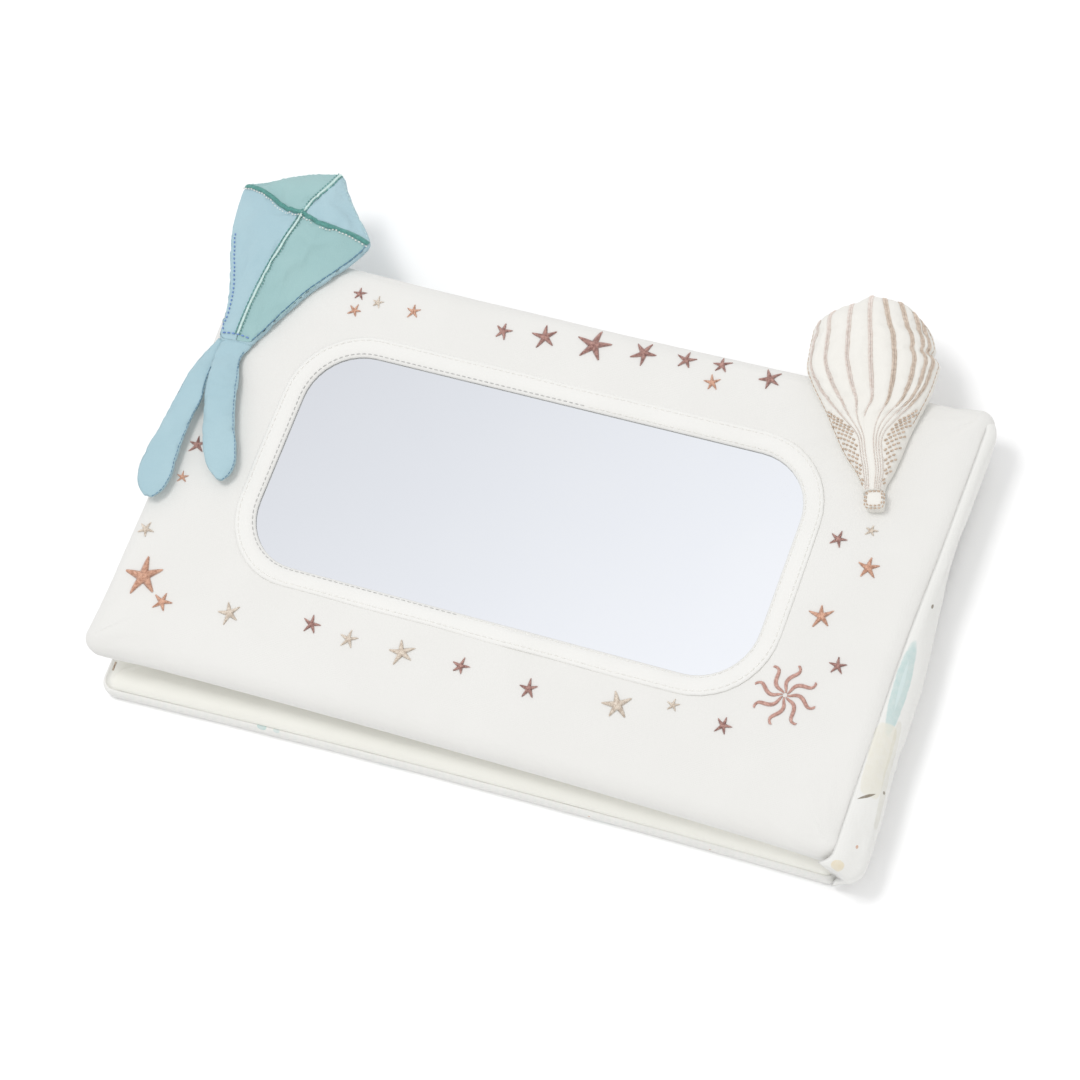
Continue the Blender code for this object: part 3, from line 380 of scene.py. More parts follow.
# %% The floor and the lights
FLOOR, shader, place = start_finish("pale_floor", 0.95)
connect(shader, "Base Color", noise(place, 0.004).tint((0.97, 0.97, 0.97), (0.99, 0.99, 0.99)))
floor_mesh = bpy.data.meshes.new("floor")
floor_mesh.from_pydata([(-3, -3, 0), (3, -3, 0), (3, 3, 0), (-3, 3, 0)], [], [(0, 1, 2, 3)])
floor_mesh.materials.append(FLOOR)
floor = add("floor", floor_mesh)
floor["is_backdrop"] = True


def soft_box(name, direction, distance, size, power):
    """A large square lamp that looks at the object from a direction."""
    lamp = bpy.data.lights.new(name, "AREA")
    lamp.size = size
    lamp.energy = power
    holder = add(name, lamp)
    holder.location = direction.normalized() * distance
    holder.rotation_euler = direction.to_track_quat("Z", "Y").to_euler()
    holder.visible_glossy = False
    return holder


KEY_SIDE = -IMAGE_RIGHT * 0.75 + IMAGE_UP * 0.45
KEY_SIDE.z = 0
key = soft_box("key", KEY_SIDE.normalized() + Vector((0, 0, 6.0)), 1.6, 0.45, 8.0)
soft_box("fill", Vector((1.0, -0.8, 1.5)), 0.8, 0.5, 0.32)
print("key light from", np.round(key.location, 2))

# %% The walls of the studio, which the mirror shows
world = bpy.data.worlds.new("studio")
world.use_nodes = True
bpy.context.scene.world = world
tree = world.node_tree
direction = Signal(tree, tree.nodes.new("ShaderNodeTexCoord").outputs["Generated"])
seen = (PANEL_FRAME.to_3x3() @ Vector((-back.x, -back.y, back.z))).normalized()
sideways = (PANEL_FRAME.to_3x3() @ (right * 0.55 - up * 0.85)).normalized()
sideways = (sideways - seen * sideways.dot(seen)).normalized()
reach, facing = dot(direction, sideways), dot(direction, seen)
glow = reach.between(-0.15, 0.11).tint((0.715, 0.725, 0.755), (1.0, 1.005, 1.03))
glow = facing.between(0.75, 0.95).tint((0.79, 0.79, 0.79), glow)
background = tree.nodes["Background"]
tree.links.new(glow.socket, background.inputs["Color"])
background.inputs["Strength"].default_value = 1.0
print("walls brighten towards", np.round(sideways, 2))

# %% [markdown]
# ## From arrays to pieces
# Every sewn piece below is a grid of points: a shape that two numbers describe, such as how far round
# the edge and how far over the roll. numpy works the whole grid out at once. Neighbouring rows and
# columns become quads, and a single point closes an end like the pole of a globe.

# %% Grids, meshes and pieces
def lattice(points, closed=True, first=None, last=None):
    """Vertices and faces of a grid (rows, columns, 3). A closed grid joins its last column to its
    first. Faces look along the cross product of the column direction and the row direction."""
    rows, columns = points.shape[:2]
    index = np.arange(rows * columns).reshape(rows, columns)
    if closed:
        index = np.concatenate([index, index[:, :1]], axis=1)
    corners = (index[:-1, :-1], index[:-1, 1:], index[1:, 1:], index[1:, :-1])
    faces = np.stack(corners, axis=-1).reshape(-1, 4).tolist()
    vertices = points.reshape(-1, 3)
    for pole, ring, flip in ((first, index[0], True), (last, index[-1], False)):
        if pole is not None:
            tip = np.full(len(ring) - 1, len(vertices))
            low, high = (ring[1:], ring[:-1]) if flip else (ring[:-1], ring[1:])
            faces += np.stack([low, high, tip], axis=-1).tolist()
            vertices = np.vstack([vertices, pole])
    return vertices, faces


def make_piece(name, vertices, faces, material, body):
    """A smooth mesh object at the origin that rides on a body and takes the finish it is given."""
    mesh = bpy.data.meshes.new(name)
    mesh.from_pydata(vertices.tolist(), [], faces)
    mesh.polygons.foreach_set("use_smooth", [True] * len(mesh.polygons))
    mesh.materials.append(material)
    made = add(name, mesh)
    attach(made, body)
    return made


def cushion(name, grid, poles, drawing, material, body):
    """A closed piece from a grid and its two poles, drawn flat in a frame. Returns it, the grid in the
    world, and the faces."""
    placed = moved(grid, drawing)
    first, last = [moved(pole, drawing) for pole in poles]
    vertices, faces = lattice(placed, first=first, last=last)
    return make_piece(name, vertices, faces, material, body), placed, faces


def coordinates(mesh):
    """A mesh's vertices as an array (n, 3)."""
    flat = np.empty(len(mesh.vertices) * 3)
    mesh.vertices.foreach_get("co", flat)
    return flat.reshape(-1, 3)


def tree_of(made, faces):
    """The tree that finds where a ray meets a piece."""
    return BVHTree.FromPolygons(coordinates(made.data).tolist(), faces)


def set_coordinates(mesh, points):
    """Moves a mesh's vertices to an array's places."""
    mesh.vertices.foreach_set("co", points.ravel())
    mesh.update()


def wall(made, thickness):
    """Gives an open cloth its thickness on the inner side."""
    solid = made.modifiers.new("wall", "SOLIDIFY")
    solid.thickness = thickness
    solid.offset = -1


def smoother(made):
    """Divides each face into four, along a smooth surface."""
    finer = made.modifiers.new("finer", "SUBSURF")
    finer.levels = 1
    finer.render_levels = 1


def wobble(points, size, length):
    """Slow, repeatable unevenness: a sum of sines along five fixed directions."""
    headings = np.array([0.3, 1.5, 2.4, 3.9, 5.2])
    lengths = length * np.array([1.0, 0.77, 1.31, 0.61, 1.73])
    run = np.cos(headings) * points[..., :1] + np.sin(headings) * points[..., 1:2]
    run = run + 0.6 * points[..., 2:3]
    return size * np.sin(run * (2 * math.pi / lengths) + headings * 3).sum(axis=-1) / 3


print("grid tools ready")

# %% [markdown]
# ## Filling a cover
# Stuffing pushes a sewn cover out until its threads are taut, and the seams stay where they are. That
# is what Blender's cloth does with pressure and without gravity, so it gives pillows that no formula
# gives. The seams are held, the air does the rest for twenty frames, and no point may move further
# than a cap, so that a pad keeps to its size.

# %% The cloth simulation as one function
def fill_cover(made, held, pressure, cap, slack, stiffness=15.0, frames=20):
    """Inflates a closed cover. held marks the seams' vertices, slack is how much longer than its shape
    the cloth is cut, and a move m is cut to cap * tanh(m / cap). Returns how far each vertex wanted
    to move."""
    mesh = made.data
    before = coordinates(mesh)
    group = made.vertex_groups.new(name="held")
    group.add(np.flatnonzero(held).tolist(), 1.0, "REPLACE")
    cover = made.modifiers.new("air", "CLOTH")
    settings = cover.settings
    settings.quality = 5
    settings.mass = 0.3
    settings.tension_stiffness = stiffness
    settings.compression_stiffness = stiffness
    settings.shear_stiffness = stiffness / 3
    settings.bending_stiffness = 0.3
    settings.shrink_min = -slack
    settings.use_pressure = True
    settings.uniform_pressure_force = pressure
    settings.vertex_group_mass = "held"
    settings.effector_weights.gravity = 0
    cover.point_cache.frame_start = 1
    cover.point_cache.frame_end = frames
    scene = bpy.context.scene
    for number in range(1, frames + 1):
        scene.frame_set(number)
    depsgraph = bpy.context.evaluated_depsgraph_get()
    after = coordinates(made.evaluated_get(depsgraph).data)
    made.modifiers.remove(cover)
    made.vertex_groups.remove(group)
    scene.frame_set(1)
    move = after - before
    length = np.linalg.norm(move, axis=1, keepdims=True) + 1e-9
    set_coordinates(mesh, before + move * cap * np.tanh(length / cap) / length)
    return length[:, 0]


def held_at(shape, poles, *places):
    """Marks the vertices of a grid that stay put, by rows and columns, and then its two poles."""
    held = np.zeros(shape[:2], bool)
    for place in places:
        held[place] = True
    return np.append(held.ravel(), poles)


def report(made, moves=None):
    """Prints what a piece became."""
    points = coordinates(made.data)
    size = np.round((points.max(axis=0) - points.min(axis=0)) * 1000, 1)
    filled = "" if moves is None else f", filled by up to {moves.max() * 1000:.1f} mm before the cap"
    print(f"{made.name}: {len(made.data.polygons)} faces, {size} mm{filled}")


# %% [markdown]
# ## The outline that both panels share
# A panel is a rounded rectangle whose long sides are drawn in a little between the corners, as any
# sewn pad's are. The window is a rounded rectangle as well. Both get the same number of points in the
# same order, so the cloth between them is a plain grid.

# %% Rounded outlines and the rolled edge
LONG_SIDE, SHORT_SIDE, ARC = 84, 46, 10
FAR_FLARE = 2.6 * MM


def smooth_step(value):
    """0 below 0, 1 above 1, and 3 v ** 2 - 2 v ** 3 between them."""
    value = np.clip(value, 0, 1)
    return value**2 * (3 - 2 * value)


def through(wanted, stations, values):
    """A smooth curve through stations: between two of them, the cubic whose slopes there are those of
    the chord between their neighbours."""
    stations, values = np.asarray(stations, float), np.asarray(values, float)
    slopes = np.gradient(values, stations)
    cell = np.clip(np.searchsorted(stations, wanted, side="right") - 1, 0, len(stations) - 2)
    width = stations[cell + 1] - stations[cell]
    t = (wanted - stations[cell]) / width
    start = values[cell] * (1 + 2 * t) * (1 - t) ** 2 + slopes[cell] * width * t * (1 - t) ** 2
    return start + values[cell + 1] * t**2 * (3 - 2 * t) + slopes[cell + 1] * width * t**2 * (t - 1)


def rounded_loop(low, high, radius):
    """Counter-clockwise points: four quarter circles, with evenly divided sides between them."""
    centres = np.array(
        [
            (high[0] - radius, low[1] + radius),
            (high[0] - radius, high[1] - radius),
            (low[0] + radius, high[1] - radius),
            (low[0] + radius, low[1] + radius),
        ]
    )
    angles = np.radians(np.array([[-90], [0], [90], [180]]) + np.linspace(0, 90, ARC + 1))
    arcs = centres[:, None] + radius * np.stack([np.cos(angles), np.sin(angles)], axis=-1)
    parts = []
    for side in range(4):
        steps = SHORT_SIDE if side % 2 == 0 else LONG_SIDE
        share = np.linspace(0, 1, steps + 1)[1:-1, None]
        parts += [arcs[side], arcs[side, -1] * (1 - share) + arcs[(side + 1) % 4, 0] * share]
    return np.vstack(parts)


def panel_loop(length, width, inset, height):
    """A panel's outline moved in from its edge. A free side is pulled in most at its middle, by
    DRAW_IN * (1 - t * t) along it, and the spine's side stays straight."""
    half_x, half_y = length / 2 - inset, width / 2 - inset
    loop = rounded_loop((-half_x, -half_y), (half_x, half_y), max(CORNER - inset, 0.3 * MM))
    along, across = 2 * loop[:, 0] / length, 2 * loop[:, 1] / width
    x = loop[:, 0] + DRAW_IN * np.maximum(0, -along) ** 4 * (1 - across**2)
    y = loop[:, 1] - DRAW_IN * np.sign(across) * across**4 * (1 - along**2)
    return np.stack([x, y, np.full(len(x), height)], axis=-1)


def far_flare(across):
    """How far the upper panel's spine side is drawn out at a place along it: most at the far end."""
    return FAR_FLARE * smooth_step((0.3 + 2 * across / PANEL_WIDTH) / 1.3)


def window_loop(outward, height):
    """The window's outline, moved outwards."""
    low = [value - outward for value in WINDOW_LOW]
    high = [value + outward for value in WINDOW_HIGH]
    loop = rounded_loop(low, high, WINDOW_CORNER + outward)
    return np.column_stack([loop, np.full(len(loop), height)])


def edge_rows(length, width, seam, face, inward, turns):
    """Rows from the seam to the face: the inset is ROLL * (1 - cos a) and the height goes with sin a,
    above a short share of it that stands upright."""
    rows = []
    upright = (face - seam) * UPRIGHT
    for angle in turns:
        inset = inward + ROLL * (1 - math.cos(angle))
        height = seam + upright + (face - seam - upright) * math.sin(angle)
        rows.append(panel_loop(length, width, inset, height))
    return rows


TURNS = np.radians(np.linspace(0, 90, 9))
SEAM_COLUMNS = len(rounded_loop((-1, -1), (1, 1), 0.1))
print("points round a panel:", SEAM_COLUMNS)

# %% [markdown]
# ## The upper panel's padded cover
# It is one closed cushion: the inner side, the rolled edge with its seam, the face with the window,
# and the pocket for the mirror and its board. Foam fills it, so it swells only a little. The grid runs
# from the middle of the inner side round the edge to the middle of the pocket, and then it is filled.

# %% The cover's rows, in the panel's own frame
def pad_rows(edge, middle, shares):
    """Rows between an edge and a middle point, at the given shares of the way from the middle."""
    return [middle + (edge - middle) * share for share in shares]


def cover_grid():
    """The cover's rows, its two middle points, and the numbers of the seam's row, the face's first row
    and the pocket's first row."""
    under_edge = edge_rows(PANEL_LENGTH, PANEL_WIDTH, -0.2 * MM, -HALF, 0.0, TURNS)
    over_edge = edge_rows(PANEL_LENGTH, PANEL_WIDTH, 0.2 * MM, HALF, 0.0, TURNS)
    middle = np.array([0, 0, -HALF - 0.9 * MM])
    rows = pad_rows(under_edge[-1], middle, np.linspace(0.06, 0.94, 12))
    rows += under_edge[::-1]
    seam = len(rows)
    rows.append(panel_loop(PANEL_LENGTH, PANEL_WIDTH, 0.5 * MM, 0.0))
    rows += over_edge
    face = len(rows)
    lip = window_loop(2.2 * MM, HALF)
    for share in np.linspace(0, 1, 19)[1:]:
        row = over_edge[-1] * (1 - share) + lip * share
        row[:, 2] += 0.35 * MM * math.sin(math.pi * share) ** 0.7
        rows.append(row)
    pocket = len(rows)
    rows += [window_loop(out * MM, high * MM) for out, high in ((2.2, 6.1), (8.5, 6.0), (8.5, 1.6))]
    floor_middle = np.array([-2.6 * MM, 6.9 * MM, 1.6 * MM])
    rows += pad_rows(rows[-1], floor_middle, (0.7, 0.35, 0.1))
    return np.array(rows), middle, floor_middle, seam, face, pocket


rows, middle, pocket_middle, SEAM_ROW, FACE_ROW, POCKET_ROW = cover_grid()
rows[..., 0] += far_flare(rows[..., 1]) * smooth_step((rows[..., 0] - 0.106) / 0.036)
squarer = smooth_step((rows[..., 0] - 0.136) / 0.012) * smooth_step((rows[..., 1] - 0.072) / 0.012)
rows[..., 1] += 1.2 * MM * squarer
rows[1:FACE_ROW, :, 2] += wobble(rows[1:FACE_ROW], 0.25 * MM, 0.09)
poles = (middle, pocket_middle)
cover, _, faces = cushion(
    "mirror_panel_cover", rows, poles, PANEL_FRAME, LINEN, "mirror_panel"
)
held = held_at(rows.shape, (False, True), SEAM_ROW, np.s_[POCKET_ROW - 3 :])
moves = fill_cover(cover, held, pressure=2.0, cap=0.5 * MM, slack=0.001)
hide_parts("mirror_cover_front", "mirror_cover_back", "mirror_foam")
report(cover, moves)

# %% [markdown]
# ## Where embroidery lies
# A stitch has to lie on the finished cloth, not on the flat drawing. A ray from above finds the cloth
# under a place of the drawing, and gives both the height and the way the cloth faces there.

# %% Finding the cloth under a place
cover_tree = tree_of(cover, faces)
PANEL_UP = PANEL_FRAME.to_3x3() @ Vector((0, 0, 1))


def cloth_under(places, tree=cover_tree, drawing=PANEL_FRAME):
    """World points and normals of the cloth under places (n, 2) of a drawing."""
    above = moved(np.column_stack([places, np.full(len(places), 0.03)]), drawing)
    hits = [tree.ray_cast(Vector(point), -PANEL_UP) for point in above]
    beside = moved(np.column_stack([places, np.zeros(len(places))]), drawing)
    hits = [hit if hit[0] else tree.find_nearest(Vector(point)) for hit, point in zip(hits, beside)]
    return np.array([hit[0] for hit in hits]), np.array([hit[1] for hit in hits])


near_side, _ = cloth_under(np.array([[0.0, -0.07]]))
print("cloth under the middle of the near side, mm:", np.round(near_side * 1000, 1))

# %% [markdown]
# ## Threads and satin stitch
# A stitch is a short thread that comes up through the cloth, bows over it and dives in again. Satin
# stitch lays many of them side by side across a shape, a little slanted. One function bends a thread
# as a half sine, with a few sides and stations only, because there are thousands of them.

# %% Stitches as arrays
SIDES, STATIONS = 5, 4
LIFT = 0.1 * MM


def bowed_threads(starts, ends, outs, radius, rise):
    """Vertices and faces of threads: the centre line goes straight from start to end, plus
    rise * sin(pi t) along the cloth's normal, and the thread thins to its ends."""
    share = np.linspace(0, 1, STATIONS)[None, :, None]
    arch = np.sin(np.pi * (0.06 + 0.88 * share))
    rise = np.broadcast_to(np.asarray(rise, float), len(starts))[:, None, None]
    centre = starts[:, None] * (1 - share) + ends[:, None] * share + outs[:, None] * rise * arch
    side = np.cross(outs, unit(ends - starts))
    angle = np.arange(SIDES) * 2 * np.pi / SIDES
    ring = side[:, None] * np.cos(angle)[None, :, None] + outs[:, None] * np.sin(angle)[None, :, None]
    thick = radius * (0.62 + 0.38 * arch)
    points = centre[:, :, None] + ring[:, None] * thick[:, :, None]
    index = np.arange(len(starts) * STATIONS * SIDES).reshape(-1, STATIONS, SIDES)
    following = np.roll(index, -1, axis=2)
    corners = (index[:, :-1], following[:, :-1], following[:, 1:], index[:, 1:])
    faces = np.stack(corners, axis=-1).reshape(-1, 4).tolist()
    faces += index[:, 0, ::-1].tolist() + index[:, -1].tolist()
    return points.reshape(-1, 3), faces


def sew(name, batches, colour, body):
    """One piece from several batches of a thread, each (starts, ends, outs, radius, rise)."""
    vertices, faces, offset = [], [], 0
    for batch in batches:
        points, more = bowed_threads(*batch)
        faces += [[corner + offset for corner in face] for face in more]
        vertices.append(points)
        offset += len(points)
    return make_piece(name, np.vstack(vertices), faces, THREADS[colour], body)


def along_path(path, spacing, offset=0.0):
    """Places every spacing along a path, as fractions of its points' numbers."""
    steps = np.linalg.norm(np.diff(path, axis=0), axis=1)
    run = np.concatenate([[0], np.cumsum(steps)])
    wanted = np.arange(offset, run[-1], spacing)
    return np.interp(wanted, run, np.arange(len(path)))


def at(values, places):
    """Values of an array at fractional places, mixed between neighbours."""
    low = np.clip(np.floor(places).astype(int), 0, len(values) - 2)
    mix = (places - low)[:, None]
    return values[low] * (1 - mix) + values[low + 1] * mix


def running_stitch(path, outs, length, gap, radius, lift=0.0):
    """A batch of stitches end to end along a path, with the gaps of a sewing machine."""
    places = along_path(path, length + gap)
    step = along_path(path, length + gap, length)
    count = min(len(places), len(step))
    places, step = places[:count], step[:count]
    normal = at(outs, places)
    rise = radius * 0.9 + lift
    return at(path, places) + normal * lift, at(path, step) + normal * lift, normal, radius, rise


def satin(path, outs, widths, spacing, radius, slant=0.35, puff=0.35):
    """A batch of stitches across a path: each goes from one side to the other, a width away, slanted
    along the path by slant times that width, and bows up by puff times it."""
    places = along_path(path, spacing)
    centre, normal = at(path, places), at(outs, places)
    run = unit(at(np.gradient(path, axis=0), places))
    side = np.cross(normal, run)
    width = at(widths[:, None], places)
    reach = side * width + run * width * slant
    return centre - reach, centre + reach, normal, radius, (width * puff)[:, 0] + radius * 0.5


print("a thread has", (STATIONS - 1) * SIDES + 2, "faces")

# %% [markdown]
# ## The embroidered stars
# Each star is five tapering arms in satin stitch. Hand-guided embroidery is never quite even, so a
# seeded random number makes each arm a little longer, shorter or turned. A graduated row of them fills
# the far margin, and the rest are scattered round the window.

# %% Places of the stars, in millimetres of the panel's drawing
STARS = (
    ("star_01", -73.05, 72.68, 3.0, 10, "copper"),
    ("star_02", -36.0, 73.25, 3.8, 0, "rose"),
    ("star_03", -19.5, 74.96, 5.0, 20, "rose"),
    ("star_04", 0.0, 76.1, 6.4, 0, "rose"),
    ("star_05", 19.5, 77.81, 5.0, -20, "rose"),
    ("star_06", 36.0, 78.95, 3.8, 0, "rose"),
    ("star_07", 49.65, 80.38, 3.4, 15, "rose"),
    ("star_08", 68.85, 79.24, 4.4, 30, "rose"),
    ("star_09", -135.03, -0.53, 3.8, 12, "rose"),
    ("star_10", -141.33, -37.98, 3.4, -20, "sand"),
    ("star_11", -134.24, -56.0, 8.4, 14, "copper"),
    ("star_12", -123.21, -63.61, 4.2, -8, "copper"),
    ("star_13", -96.0, -60.91, 4.6, 25, "sand"),
    ("star_14", -63.75, -56.69, 3.6, 0, "rose"),
    ("star_15", -47.85, -58.38, 3.6, 8, "sand"),
    ("star_16", -26.55, -57.96, 5.2, 22, "sand"),
    ("star_17", -3.3, -57.12, 3.6, -5, "rose"),
    ("star_18", 24.15, -58.38, 3.8, 10, "rose"),
    ("star_19", 57.3, -55.43, 5.8, 18, "sand"),
    ("star_20", 96.6, -52.47, 3.4, -12, "rose"),
    ("star_21", 128.54, -20.48, 3.4, 6, "rose"),
    ("star_22", 116.92, -4.2, 4.6, 15, "copper"),
    ("star_23", 127.2, 17.59, 4.4, 4, "copper"),
    ("star_24", 113.35, 25.38, 3.4, -10, "rose"),
    ("star_small_1", -88.2, 72.8, 2.5, 0, "sand"),
    ("star_small_2", -135.6, -14.4, 2.5, 10, "copper"),
    ("star_small_3", 76.8, -50.1, 2.5, 5, "sand"),
    ("star_small_4", 123.8, 31.5, 2.5, -6, "sand"),
    ("star_small_5", -96.6, 74.7, 2.9, 8, "rose"),
    ("star_small_6", -95.9, 67.4, 2.9, -12, "copper"),
    ("star_small_7", 48.5, 72.6, 3.3, 20, "copper"),
)
print(len(STARS), "stars")

# %% Sewing a star
chance = np.random.default_rng(7)


def star_batches(centre, radius, turn):
    """Five arms: the width falls from the hub to the tip as R * (0.03 + 0.2 * (1 - t) ** 0.8)."""
    batches = []
    share = np.linspace(0, 1, 9)
    for arm in range(5):
        heading = math.radians(turn + 90 + 72 * arm) + chance.normal(0, 0.05)
        reach = radius * (1 + chance.normal(0, 0.06))
        bend = chance.normal(0, 0.08)
        angles = heading + bend * share
        run = reach * (0.04 + 0.96 * share)
        path = centre + run[:, None] * np.stack([np.cos(angles), np.sin(angles)], axis=-1)
        points, outs = cloth_under(path)
        widths = radius * (0.03 + 0.2 * (1 - share) ** 0.8)
        raised = points + outs * LIFT
        batches.append(satin(raised, outs, widths, 0.38 * MM, 0.2 * MM, slant=0.5, puff=0.55))
    return batches


for name, x, y, radius, turn, colour in STARS:
    batches = star_batches(np.array([x, y]) * MM, radius * MM, turn)
    label = name if name.startswith("star_small") else name.replace("star", "embroidered_star")
    star = sew(label, batches, colour, "mirror_panel")
    if label != name:
        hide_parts(name)
print("the last star has", len(star.data.polygons), "faces")

# %% [markdown]
# ## The embroidered sun
# Eight rays sway as they leave the hub, each a ribbon of satin stitch that is narrow at the hub, full
# in its middle and blunt at its tip. The heading of a ray sways by a sine of the way along it.

# %% Sewing the sun
SUN_CENTRE = np.array([114.0612, -35.7875]) * MM
RAYS, SWAY = 8, math.radians(14)
batches = []
share = np.linspace(0, 1, 17)
for ray in range(RAYS):
    heading = math.radians(360 / RAYS * ray)
    angles = heading + SWAY * np.sin(math.radians(330) * share)
    run = (1.0 + 10.8 * share) * MM
    path = SUN_CENTRE + run[:, None] * np.stack([np.cos(angles), np.sin(angles)], axis=-1)
    points, outs = cloth_under(path)
    widths = (0.22 + 0.5 * np.sin(np.pi * np.clip(share, 0, 0.88)) ** 0.7) * MM
    batches.append(satin(points + outs * LIFT, outs, widths, 0.34 * MM, 0.19 * MM, slant=0.6))
sun = sew("embroidered_sun", batches, "blush", "mirror_panel")
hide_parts("sun")
report(sun)

# %% [markdown]
# ## The binding round the mirror
# A folded strip of cloth frames the mirror, and overlaps itself where its two ends meet on the near
# side. It is a profile carried round the window: an inner edge that dips to the mirror, a gently
# domed face, and an outer edge that dips to the cover. The overlap is one smooth step in its height.

# %% The binding's profile and overlap
BINDING_PROFILE = np.array(
    [
        (1.9, 7.0), (7.6, 7.0), (8.05, 7.15), (8.15, 7.5), (7.9, 7.8), (7.2, 7.98), (6.6, 7.94),
        (5.6, 8.04), (4.2, 8.06), (3.0, 7.9), (2.0, 7.6), (1.15, 7.2), (0.5, 6.8), (0.1, 6.35),
        (0.1, 5.95), (1.7, 5.9),
    ]
)
rows = np.array([window_loop(out * MM, high * MM) for out, high in BINDING_PROFILE])
OVERLAP_AT, OVERLAP_RISE = 0.010, 0.45 * MM
over = (BINDING_PROFILE[:, 1] > 7.2)[:, None]
near_side = rows[..., 1] < 0
past = rows[..., 0] - OVERLAP_AT
step = np.clip(past / (0.5 * MM), 0, 1) * np.exp(-np.maximum(past, 0) / 0.02)
rows[..., 2] += over * near_side * OVERLAP_RISE * step
rows[..., 2] += over * wobble(rows, 0.08 * MM, 0.03)
outer = np.clip((BINDING_PROFILE[:, 0] - 4) / 4, 0, 1)[:, None]
rows[..., 0] += outer * wobble(rows, 0.25 * MM, 0.07)
rows[..., 1] += outer * wobble(rows[..., [1, 0, 2]], 0.25 * MM, 0.06)
binding_grid = moved(rows, PANEL_FRAME)
vertices, faces = lattice(np.concatenate([binding_grid, binding_grid[:1]]))
binding = make_piece(
    "mirror_binding_strip", vertices, faces, BINDING, "mirror_panel"
)
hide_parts("mirror_binding")
report(binding)

# %% Its two lines of stitching
def binding_stitch(line, length=1.5 * MM):
    """A batch of machine stitches along a line of the binding."""
    normals = np.tile(np.array(PANEL_UP), (len(line), 1))
    return running_stitch(line, normals, length, 0.8 * MM, 0.17 * MM)


INNER_ROW, OUTER_ROW = 11, 6
inner_line = binding_grid[INNER_ROW]
outer_line = np.vstack([binding_grid[OUTER_ROW], binding_grid[OUTER_ROW, :1]])
# The inner line's stitches are cream where lit and grey on the far and left sides, where the grey paints
# their shade.
shade_from = len(inner_line) // 2 - SHORT_SIDE
in_light = [binding_stitch(inner_line[:shade_from]), binding_stitch(inner_line[-SHORT_SIDE:])]
in_light.append(binding_stitch(outer_line, 1.8 * MM))
outer = sew("binding_stitches", in_light, "cream", "mirror_panel")
in_shade = [binding_stitch(inner_line[shade_from:-SHORT_SIDE])]
inner = sew("binding_shaded_stitches", in_shade, "grey", "mirror_panel")
report(inner)
report(outer)

# %% [markdown]
# ## The lower panel
# The panel on the table is a plain padded cushion whose underside is wrapped in the printed cloth. The
# two cloths meet in a seam halfway up, and below it the print stands out a little. So there are two
# pieces: a closed pad that is filled like the first one, and a sheet stretched round its lower half.

# %% The plain pad
def base_loop(inset, height):
    """The lower panel's outline. Its spine side lies a little further in towards the far end, and its
    near corner on the free side is drawn out."""
    loop = panel_loop(BASE_LENGTH, PANEL_WIDTH, inset * MM, height * MM)
    back_in = 1.4 * MM * smooth_step((1 + 2 * loop[:, 1] / PANEL_WIDTH) / 1.2)
    loop[:, 0] -= back_in * smooth_step(loop[:, 0] / (BASE_LENGTH / 2) * 3 - 2)
    drawn_out = 3.2 * MM * smooth_step(0.3 - 2 * loop[:, 1] / PANEL_WIDTH)
    loop[:, 0] -= drawn_out * smooth_step(-loop[:, 0] / (BASE_LENGTH / 2) * 3 - 2)
    return loop


low_middle, high_middle = np.array([0, 0, 1.2 * MM]), np.array([0, 0, 14.5 * MM])
inner_foot = base_loop(3.6, 1.2)
rows = pad_rows(inner_foot, low_middle, (0.1, 0.5, 0.9))
rows += [inner_foot, base_loop(3.1, 2.4), base_loop(2.8, 4.4), base_loop(2.3, 6.0)]
seam = len(rows)
rows.append(base_loop(1.75, 6.75))
rolled = edge_rows(BASE_LENGTH, PANEL_WIDTH, BASE_SEAM + 0.4 * MM, PANEL_THICKNESS, BASE_FLARE, TURNS)
rows += rolled
rows += pad_rows(rolled[-1], high_middle, np.linspace(0.94, 0.06, 12))
rows = np.array(rows)
rows[seam + 1 :, :, 2] += wobble(rows[seam + 1 :], 0.15 * MM, 0.08)
vertices, pad_faces = lattice(rows, first=low_middle, last=high_middle)
# The pad's linen carries painted light and a painted warm shade tint for the band under the upper panel.
base_pad = make_piece("base_panel_pad", vertices, pad_faces, PAD_LINEN_PAINTED_SHADE_TINT, "base")
held = held_at(rows.shape, (True, False), np.s_[: seam + 2])
moves = fill_cover(base_pad, held, pressure=2.0, cap=0.45 * MM, slack=0.002)
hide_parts("base_cover_inner", "base_foam")
report(base_pad, moves)

# %% The printed cloth round its lower half
FOOT = np.array(
    [
        (9.0, 0.12), (5.0, 0.08), (3.0, 0.05), (1.7, 0.10), (0.9, 0.45), (0.4, 1.1), (0.15, 2.0),
        (0.1, 3.2), (0.15, 4.4), (0.35, 5.4), (0.7, 6.2), (1.15, 6.65), (1.6, 6.8), (2.1, 6.6),
    ]
)


def sheet_area(grid):
    """Area of a grid: half the length of the cross product of each cell's diagonals, summed."""
    first = grid[1:, 1:] - grid[:-1, :-1]
    second = grid[1:, :-1] - grid[:-1, 1:]
    return float(np.linalg.norm(np.cross(first, second), axis=-1).sum() / 2)


